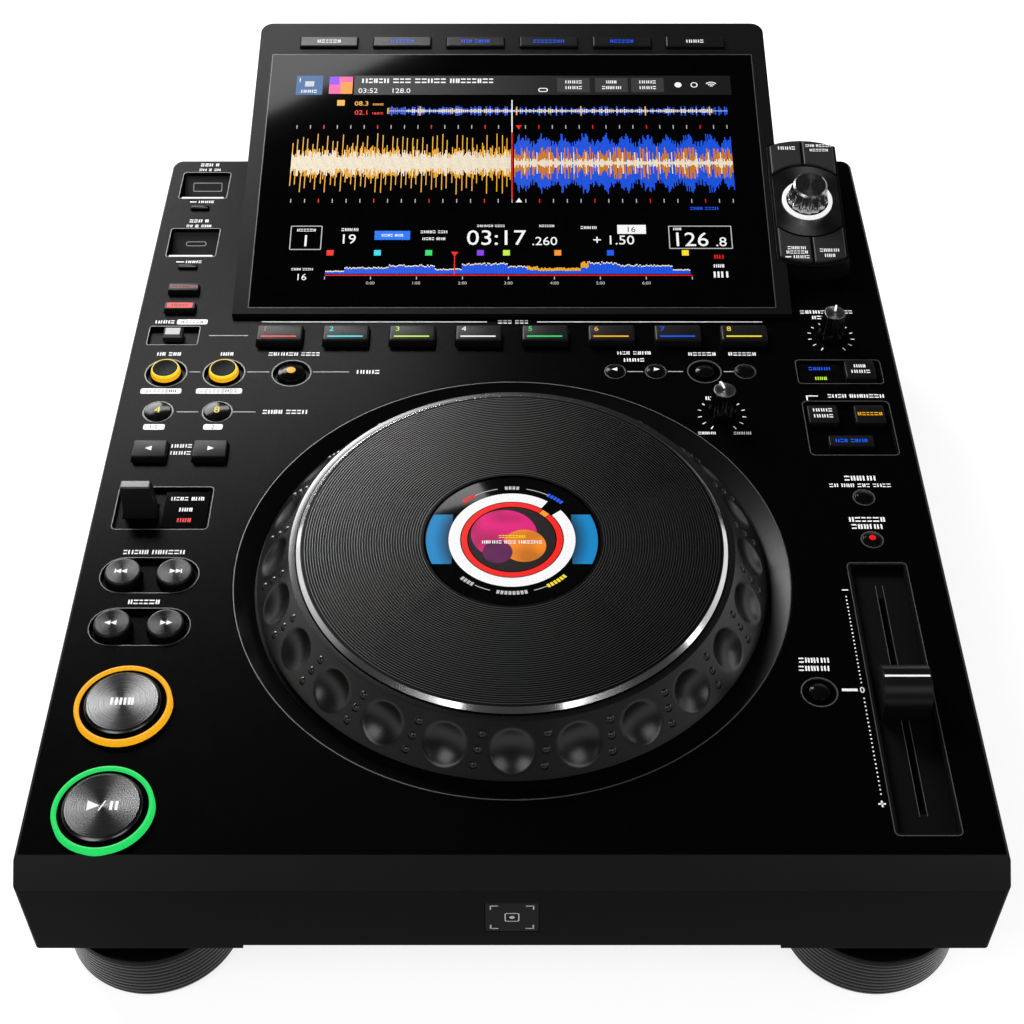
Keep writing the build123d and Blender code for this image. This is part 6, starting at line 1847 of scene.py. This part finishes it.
@dataclass
class RearPanel:
    """Sockets, screws and the power button at the back."""

    screw: tuple[Place, ...] = ((0, 0), (2.6, 0), (2.6, 0.5), (2.0, 1.1), (0.9, 1.3), (0.5, 0.8), (0, 0.8))
    columns: tuple[float, ...] = (-156.0, -82.0, 0.0, 82.0, 156.0)
    rows: Place = (-8.0, -37.0)

    def build(self) -> None:
        """Dresses the sockets and adds round screw heads."""
        dress(KEY_BLACK, "rear_sockets")
        dress(KEY_GREY, "power_button")
        screws = Piece("rear_screws", STEEL)
        for u in self.columns:
            for v in self.rows:
                screws.add(lathe(self.screw, 32), REAR.place(u, v))
        screws.done()


# ---- display


@dataclass
class Screen:
    """The tilted housing, its glass, the keys behind it and the lit picture."""

    shift: float = 3.6  # picture places are given from the glass's front edge
    wave_low: float = 64.9
    wave_high: float = 103.7
    wave_left: float = -103.0
    wave_right: float = 103.0
    wave_pitch: float = 0.52
    key_pitch: float = 35.7
    key_along: float = 165.4
    key_rise: float = 1.4
    key_words: tuple[tuple[int, ...], ...] = ((6,), (6,), (3, 4), (8,), (6,), (4,))
    overview_steps: tuple[Place, ...] = (  # share of the width at which a level ends, and that level
        (0.05, 1.4), (0.17, 3.4), (0.3, 4.6), (0.37, 2.6), (0.5, 5.6), (0.58, 4.0), (0.7, 3.2), (0.8, 6.2),
        (0.95, 4.8), (1.0, 2.2),
    )
    overview_base: float = 18.8
    play_gap: float = 0.8
    tick_rows: Place = (61.3, 106.9)
    tick_start: float = -101.6
    tick_pitch: float = 6.35
    ticks: int = 33
    marker_places: tuple[float, ...] = (-81.9, -60.6, -37.5, -14.2, -2.5, 20.6, 44.3, 78.0)
    marker_glows: tuple[Glow, ...] = (
        Glow.RED, Glow.CYAN, Glow.GREEN, Glow.PURPLE, Glow.LIME, Glow.ORANGE, Glow.BLUE, Glow.YELLOW,
    )

    def build(self) -> None:
        """Dresses the display and draws its picture."""
        dress(HOUSING_BLACK, "display_housing")
        dress(DEEP_BLACK, "display_panel")
        dress(SCREEN_BLACK, "display_glass")
        dress(SATIN_BLACK, "display_keys")
        self.face = DISPLAY.moved(0, self.shift, self.glass_rise())
        self.frame_highlight()
        self.key_rows()
        self.top_bar()
        self.main_wave()
        self.beat_ticks()
        self.info_row()
        self.overviews()

    def glass_rise(self) -> float:
        """Height of the glass's face above the display's own face."""
        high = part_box("display_glass")[1]
        back = Vector((0, high.y, high.z))
        return max(0.0, (back - DISPLAY.origin).dot(DISPLAY.out) / MM)

    def frame_highlight(self) -> None:
        """The thin line between the housing and the glass, lighter than both: a painted highlight of the edge."""
        line = rim(233.1, 154.6, 0.35, 0, 0.06, 0.4)
        Piece("display_frame_highlight", EDGE_HIGHLIGHT).add(line, self.face.place(0, 77.0)).done()

    def key_rows(self) -> None:
        """Rows on the six keys behind the glass: the outer two white, the others blue."""
        rows = [Row((i - 2.5) * self.key_pitch, self.key_along, words, 2.0) for i, words in enumerate(self.key_words)]
        for name, glow, some in (("white", Glow.WHITE, (rows[0], rows[5])), ("blue", Glow.BLUE, rows[1:5])):
            rows_piece(f"display_key_{name}_rows", glow, some, DISPLAY, "display_keys", self.key_rise)

    def lit(self, name: str, glow: Glow, rows: Iterable[Block], high: float = HAIR) -> None:
        """One piece of lit blocks on the screen."""
        Piece(name, glow).add(boxes(rows, high), self.face.place()).done()

    def lit_rows(self, name: str, glow: Glow, rows: Iterable[Row], rise: float = 0.0) -> None:
        """One piece of lit rows on the screen."""
        rows_piece(name, glow, rows, self.face, rise=rise)

    def figures(self, name: str, glow: Glow, texts: Iterable[Figure], rise: float = 0.0) -> None:
        """One piece of lit figures."""
        piece = Piece(name, glow)
        for text, u, v, height in texts:
            piece.add(numeral(text, height), self.face.place(u, v, rise))
        piece.done()

    def top_bar(self) -> None:
        """The bar over the picture: source box, thumbnail, title blocks, figures, key boxes and icons."""
        self.lit("screen_source_box", Glow.STEEL_BLUE, [(-97.3, 133.8, 12.7, 12.5)])
        self.lit("screen_thumb_ground", Glow.PINK, [(-82.2, 133.8, 11.2, 11.2)], 0.03)
        self.lit("screen_thumb_band", Glow.ORANGE, [(-79.4, 132.0, 5.6, 7.6)], 0.045)
        self.lit("screen_thumb_corner", Glow.PURPLE, [(-85.4, 136.8, 4.8, 5.2)], 0.045)
        rows = (
            Row(-40.6, 136.7, (5, 3, 5, 8), 2.9), Row(29.6, 135.9, (4,), 1.9), Row(29.6, 132.2, (4,), 1.9),
            Row(47.8, 135.9, (3,), 1.9), Row(47.8, 132.2, (5,), 1.9), Row(65.2, 135.9, (4,), 1.9),
            Row(65.2, 132.2, (4,), 1.9), Row(-97.3, 129.8, (4,), 1.8),
        )
        self.lit("screen_bar_ground", Glow.CHARCOAL, [(14.6, 133.8, 181.0, 12.5)], 0.02)
        keys = [(u, 133.9, 15.6, 9.2) for u in (29.5, 47.8, 65.1)]
        self.lit("screen_key_boxes", Glow.PANEL_GREY, keys, 0.03)
        self.lit_rows("screen_title_rows", Glow.WHITE, rows, 0.03)
        self.figures(
            "screen_top_figures", Glow.WHITE,
            [("03:52", -69.0, 130.2, 3.0), ("128.0", -53.0, 130.2, 3.0), ("1", -102.0, 137.2, 2.6)], 0.03,
        )
        icons = Piece("screen_icons", Glow.WHITE)
        icons.add(rim(4.6, 2.6, 0.5, 0, HAIR, 1.2), self.face.place(14.9, 130.7))
        icons.add(disc(1.7, 0, HAIR, 24), self.face.place(79.8, 134.0))
        icons.add(rim(3.4, 3.4, 0.5, 0, HAIR, 1.6), self.face.place(87.5, 134.0))
        for i in range(3):
            reach = 1.0 + 1.2 * i
            icons.add(arc_band(reach - 0.35, reach + 0.2, pi / 4, 3 * pi / 4, 8), self.face.place(95.7, 132.4))
        icons.add(boxes([(0, 0, 4.4, 3.4)]), self.face.place(-97.3, 134.6))
        icons.done()
        self.lit("screen_loop_box", Glow.AMBER, [(-81.6, 122.3, 3.6, 3.6)])
        self.figures("screen_amber_figures", Glow.AMBER, [("08.3", -71.8, 121.9, 2.8)])
        self.figures("screen_red_figures", Glow.RED, [("02.1", -71.8, 116.1, 2.8)])
        self.lit_rows("screen_amber_row", Glow.AMBER, (Row(-63.8, 121.3, (4,), 1.2),))
        self.lit_rows("screen_red_row", Glow.RED, (Row(-63.8, 115.5, (4,), 1.2),))

    def main_wave(self) -> None:
        """The large waveform: warm spikes left of the play line, dense blue ones right of it."""
        draw = random.Random(7)
        middle = (self.wave_low + self.wave_high) / 2
        reach = (self.wave_high - self.wave_low) / 2
        bars: list[list[Block]] = [[] for _ in range(5)]
        tall, low, blue, orange, core = bars
        width = 0.8 * self.wave_pitch
        count = round((self.wave_right - self.wave_left) / self.wave_pitch)
        for i in range(count):
            u = self.wave_left + (i + 0.5) * self.wave_pitch
            if abs(u) < self.play_gap:
                continue
            if u < 0:
                beat = i % 9
                spike = reach * (draw.uniform(0.55, 0.95) if beat in (0, 4) else draw.uniform(0.22, 0.5))
                shift = draw.uniform(-0.06, 0.06) * reach
                tall.append((u, middle + shift, width, 2 * spike))
                if beat in (1, 5):
                    low.append((u, middle - shift, width, 1.3 * spike))
                core.append((u, middle, width, 2 * reach * draw.uniform(0.16, 0.42)))
            else:
                swell = 0.66 + 0.26 * sin(u / 3.1) ** 2
                blue.append((u, middle, width, 2 * reach * swell * draw.uniform(0.75, 1.08)))
                if draw.random() < 0.75:
                    orange.append((u, middle, width, 2 * reach * draw.uniform(0.2, 0.52)))
                core.append((u, middle, width, 2 * reach * (draw.uniform(0.03, 0.16) if i % 11 else 0.34)))
        looks = (
            ("amber", Glow.AMBER, 0.02), ("deep_orange", Glow.BURNT, 0.026), ("blue", Glow.BLUE, 0.02),
            ("orange", Glow.BURNT, 0.032), ("core", Glow.CREAM, 0.04),
        )
        for (name, glow, high), rows in zip(looks, bars):
            self.lit(f"wave_{name}", glow, rows, high)
        self.lit("play_line", Glow.RED, [(0.0, 82.7, 0.55, 41.6)], 0.06)
        self.lit("play_line_top", Glow.WHITE, [(0.0, 113.8, 0.55, 20.6)], 0.06)
        for name, glow, aim, v in (("marks", Glow.WHITE, pi / 2, 61.3), ("red_mark", Glow.RED, -pi / 2, 107.0)):
            Piece(f"play_line_{name}", glow).add(triangle(1.7, aim), self.face.place(3.2, v)).done()

    def beat_ticks(self) -> None:
        """Fine ticks over and under the large waveform, every fourth red."""
        white, red = [], []
        for row in self.tick_rows:
            for i in range(self.ticks):
                u = self.tick_start + self.tick_pitch * i
                (red if i % 4 == 2 else white).append((u, row, 0.4, 2.2))
        self.lit("beat_ticks_white", Glow.SOFT_WHITE, white)
        self.lit("beat_ticks_red", Glow.RED, red)
        self.lit_rows("screen_blue_row", Glow.BLUE, (Row(88.0, 56.8, (4, 4), 1.6),))

    def info_row(self) -> None:
        """The row of figures under the waveform."""
        frames = Piece("screen_frames", Glow.SOFT_WHITE)
        frames.add(rim(14.4, 14.0, 0.45, 0, HAIR, 0.6), self.face.place(-93.3, 39.5))
        frames.add(rim(28.7, 13.4, 0.45, 0, HAIR, 0.4), self.face.place(85.3, 39.8))
        frames.done()
        self.lit("screen_blue_pill", Glow.SKY, [(-54.2, 40.9, 16.1, 5.2)])
        self.lit("screen_white_pill", Glow.WHITE, [(54.3, 44.4, 13.0, 5.2)])
        rows = (
            Row(-93.3, 43.9, (6,), 1.5), Row(-73.6, 44.2, (5,), 1.6), Row(-54.2, 40.9, (4, 3), 1.4),
            Row(-35.4, 42.9, (5, 3), 1.5), Row(-35.4, 38.9, (4, 3), 1.5), Row(-9.6, 46.4, (6, 4), 1.2),
            Row(15.8, 46.4, (6,), 1.2), Row(34.8, 45.4, (5,), 1.5), Row(75.0, 44.6, (3,), 1.4),
        )
        self.lit_rows("screen_info_rows", Glow.WHITE, rows, HAIR)
        texts = [
            ("1", -93.3, 37.8, 6.4), ("19", -73.6, 38.8, 5.4), ("03:17", -7.0, 39.6, 8.6), (".260", 14.8, 37.6, 4.8),
            ("+ 1.50", 46.0, 38.2, 5.2), ("126", 81.6, 38.6, 8.0), (".8", 94.6, 37.2, 5.2),
        ]
        self.figures("screen_info_figures", Glow.WHITE, texts)
        pill = numeral("16", 3.2, 0.02)
        Piece("screen_white_pill_figures", BLACK_INK).add(pill, self.face.place(54.3, 44.4, HAIR)).done()
        self.figures("screen_lower_figures", Glow.WHITE, [("16", -93.7, 17.0, 3.6)])
        rows = (Row(-93.9, 21.4, (4, 4), 1.2), Row(92.7, 23.3, (3,), 1.8), Row(93.3, 18.4, (2,), 3.4))
        self.lit_rows("screen_lower_rows", Glow.WHITE, rows)
        self.lit_rows("screen_lower_red_row", Glow.RED, (Row(93.0, 28.5, (2,), 2.2),))

    def overviews(self) -> None:
        """The small waveform over the large one, the lower overview, its axis and its markers."""
        draw = random.Random(11)
        top = [(-59 + 0.9 * i, 117.1, 0.6, draw.uniform(1.6, 6.2)) for i in range(180)]
        self.lit("small_wave_blue", Glow.BLUE, [row for i, row in enumerate(top) if i % 3 or row[0] < 0], 0.02)
        self.lit("small_wave_core", Glow.CREAM, [(u, v, w, 0.42 * h) for u, v, w, h in top[10:172]], 0.04)
        self.lit("small_wave_amber", Glow.AMBER, [row for i, row in enumerate(top) if i % 17 == 0], 0.03)
        self.lit("small_wave_axis", Glow.SOFT_WHITE, [(22.0, 117.1, 161.0, 0.4)], 0.045)
        blue, amber, pale = [], [], []
        for i in range(230):
            u = -83.2 + 0.71 * i
            share = i / 230
            step = next(level for end, level in self.overview_steps if share < end)
            height = step * draw.uniform(0.86, 1.1)
            blue.append((u, self.overview_base + height / 2, 0.6, height))
            if 0.55 < share < 0.72:
                amber.append((u, self.overview_base + height * 0.8, 0.6, 0.5 * height))
            else:
                pale.append((u, self.overview_base + height, 0.6, 0.6))
        self.lit("overview_blue", Glow.BLUE, blue, 0.02)
        self.lit("overview_amber", Glow.AMBER, amber, 0.03)
        self.lit("overview_pale", Glow.CREAM, pale, 0.035)
        self.lit("overview_axis", Glow.RED, [(-1.6, 18.0, 164.0, 0.5)], 0.04)
        ticks = [(-83.6 + 20.5 * i, 16.4, 0.4, 1.6) for i in range(9)]
        self.lit("overview_ticks", Glow.SOFT_WHITE, ticks)
        texts = [(f"{i}:00", -63.1 + 20.5 * i, 13.6, 1.6) for i in range(7)]
        self.figures("overview_figures", Glow.SOFT_WHITE, texts)
        for i, (u, glow) in enumerate(zip(self.marker_places, self.marker_glows)):
            self.lit(f"overview_marker_{i + 1}", glow, [(u, 30.8, 3.1, 3.1)])
        seat = self.face.place(-25.8, 30.4)
        mark = Piece("overview_play_mark", Glow.RED).add(triangle(1.9, -pi / 2), seat)
        mark.add(boxes([(0, -6.4, 0.5, 12.0)]), seat).done()


# ---- studio


@dataclass
class Studio:
    """Floor, world, lamps and camera."""

    camera_place: Vector = field(default_factory=lambda: DECK.point(0, -310.27, 491.78))
    pitch: float = 46.24
    focal: float = 1730.1  # in pixels of a frame 1024 across
    frame_width: float = 1024.0
    ambient: float = 0.25
    ceiling: float = 0.045
    floor_half: float = 6.0

    def build(self) -> None:
        """Sets up everything that isn't the player."""
        bpy.context.scene.view_settings.view_transform = "Standard"
        self.camera()
        self.floor()
        self.world()
        self.lamps()

    def camera(self) -> None:
        """The camera at its measured place."""
        lens = bpy.data.cameras.new("camera")
        lens.sensor_width = 36.0
        lens.lens = lens.sensor_width * self.focal / self.frame_width
        lens.clip_start, lens.clip_end = 0.01, 20.0
        holder = bpy.data.objects.new("camera", lens)
        holder.location = self.camera_place
        holder.rotation_euler = (radians(90 - self.pitch), 0, 0)
        bpy.context.scene.collection.objects.link(holder)
        bpy.context.scene.camera = holder

    def floor(self) -> None:
        """A white floor that keeps the player's soft shadow."""
        shape = bmesh.new()
        bmesh.ops.create_grid(shape, x_segments=1, y_segments=1, size=self.floor_half)
        mesh = bpy.data.meshes.new("floor")
        shape.to_mesh(mesh)
        shape.free()
        nodes = Nodes("studio_floor")
        nodes.set(Base_Color=grey(0.35), Roughness=0.9, Specular_IOR_Level=0.0)
        path = nodes.add("ShaderNodeLightPath")
        nodes.set(Emission_Color=grey(1.0))
        # Everything but a diffuse ray sees the white: the eye, gloss, metal and glass.
        nodes.join(nodes.spread(path.outputs["Is Diffuse Ray"], 0.8, 0.0), nodes.shader.inputs["Emission Strength"])
        mesh.materials.append(nodes.material)
        made = bpy.data.objects.new("floor", mesh)
        bpy.context.scene.collection.objects.link(made)

    def world(self) -> None:
        """White to the camera, a white horizon under a dark ceiling in gloss, and a grey that lights the player."""
        world = bpy.data.worlds.new("studio")
        bpy.context.scene.world = world
        world.use_nodes = True
        world.node_tree.nodes.clear()
        add, join = world.node_tree.nodes.new, world.node_tree.links.new
        output, mix = add("ShaderNodeOutputWorld"), add("ShaderNodeMixShader")
        seen, around = add("ShaderNodeBackground"), add("ShaderNodeBackground")
        around.inputs["Color"].default_value = (*grey(self.ambient), 1)
        way, path = add("ShaderNodeTexCoord"), add("ShaderNodeLightPath")
        split, ramp = add("ShaderNodeSeparateXYZ"), add("ShaderNodeValToRGB")
        low, high = ramp.color_ramp.elements
        low.position, low.color = 0.12, (1, 1, 1, 1)
        high.position, high.color = 0.42, (*grey(self.ceiling), 1)
        # The camera sees the ramp's white start everywhere, so a camera ray counts as level.
        unseen, height = add("ShaderNodeMath"), add("ShaderNodeMath")
        unseen.operation, height.operation = "SUBTRACT", "MULTIPLY"
        unseen.inputs[0].default_value = 1.0
        for source, target in (
            (way.outputs["Generated"], split.inputs[0]), (path.outputs["Is Camera Ray"], unseen.inputs[1]),
            (split.outputs["Z"], height.inputs[0]), (unseen.outputs[0], height.inputs[1]),
            (height.outputs[0], ramp.inputs["Fac"]), (ramp.outputs["Color"], seen.inputs["Color"]),
            (path.outputs["Is Diffuse Ray"], mix.inputs["Fac"]), (seen.outputs[0], mix.inputs[1]),
            (around.outputs[0], mix.inputs[2]), (mix.outputs[0], output.inputs["Surface"]),
        ):
            join(source, target)

    def lamps(self) -> None:
        """Soft boxes: a large and a small one behind the left corner, two in front and one at the right."""
        self.lamp("back_left_box", azimuth=-31, height=27, distance=2.0, size=(1.07, 0.56), power=45)
        self.lamp("corner_box", azimuth=-28, height=38, distance=0.58, size=(0.34, 0.1), power=2.6)
        self.lamp("front_left_box", azimuth=-142, height=48, distance=1.9, size=(0.8, 0.8), power=9)
        self.lamp("front_right_box", azimuth=142, height=48, distance=1.9, size=(0.8, 0.8), power=7)
        self.lamp("right_box", azimuth=80, height=26, distance=1.8, size=(1.0, 0.5), power=4)

    def lamp(self, name: str, azimuth: float, height: float, distance: float, size: Place, power: float) -> None:
        """Adds a soft box that aims at the player.

        Args:
            name: The lamp's name.
            azimuth: Direction from the player, in degrees from straight back towards the right.
            height: Elevation, in degrees.
            distance: Distance, in metres.
            size: Width and height of the box, in metres.
            power: Power, in watts.
        """
        light = bpy.data.lights.new(name, "AREA")
        light.shape = "RECTANGLE"
        light.size, light.size_y = size
        light.energy = power
        turn, lift = radians(azimuth), radians(height)
        way = Vector((sin(turn) * cos(lift), cos(turn) * cos(lift), sin(lift)))
        holder = bpy.data.objects.new(name, light)
        holder.location = Vector((0, 0, DECK_TOP)) + way * distance
        holder.rotation_euler = way.to_track_quat("Z", "Y").to_euler()
        bpy.context.scene.collection.objects.link(holder)


def main() -> None:
    """Builds the player in order, then the studio round it."""
    logging.basicConfig(level=logging.INFO, format="%(name)s %(message)s")
    parts = (
        Body(), Feet(), JogWheel(), DeckPrint(), RecessTrim(), MemoryPorts(), HotCuePads(), LoopControls(),
        SmallButtons(), SyncKeys(), Transport(), Levers(), Dials(), TempoFader(), Selector(), RearPanel(), Screen(),
        Studio(),
    )
    for part in parts:
        log.info("building %s", type(part).__name__)
        part.build()


if __name__ == "__main__":
    main()
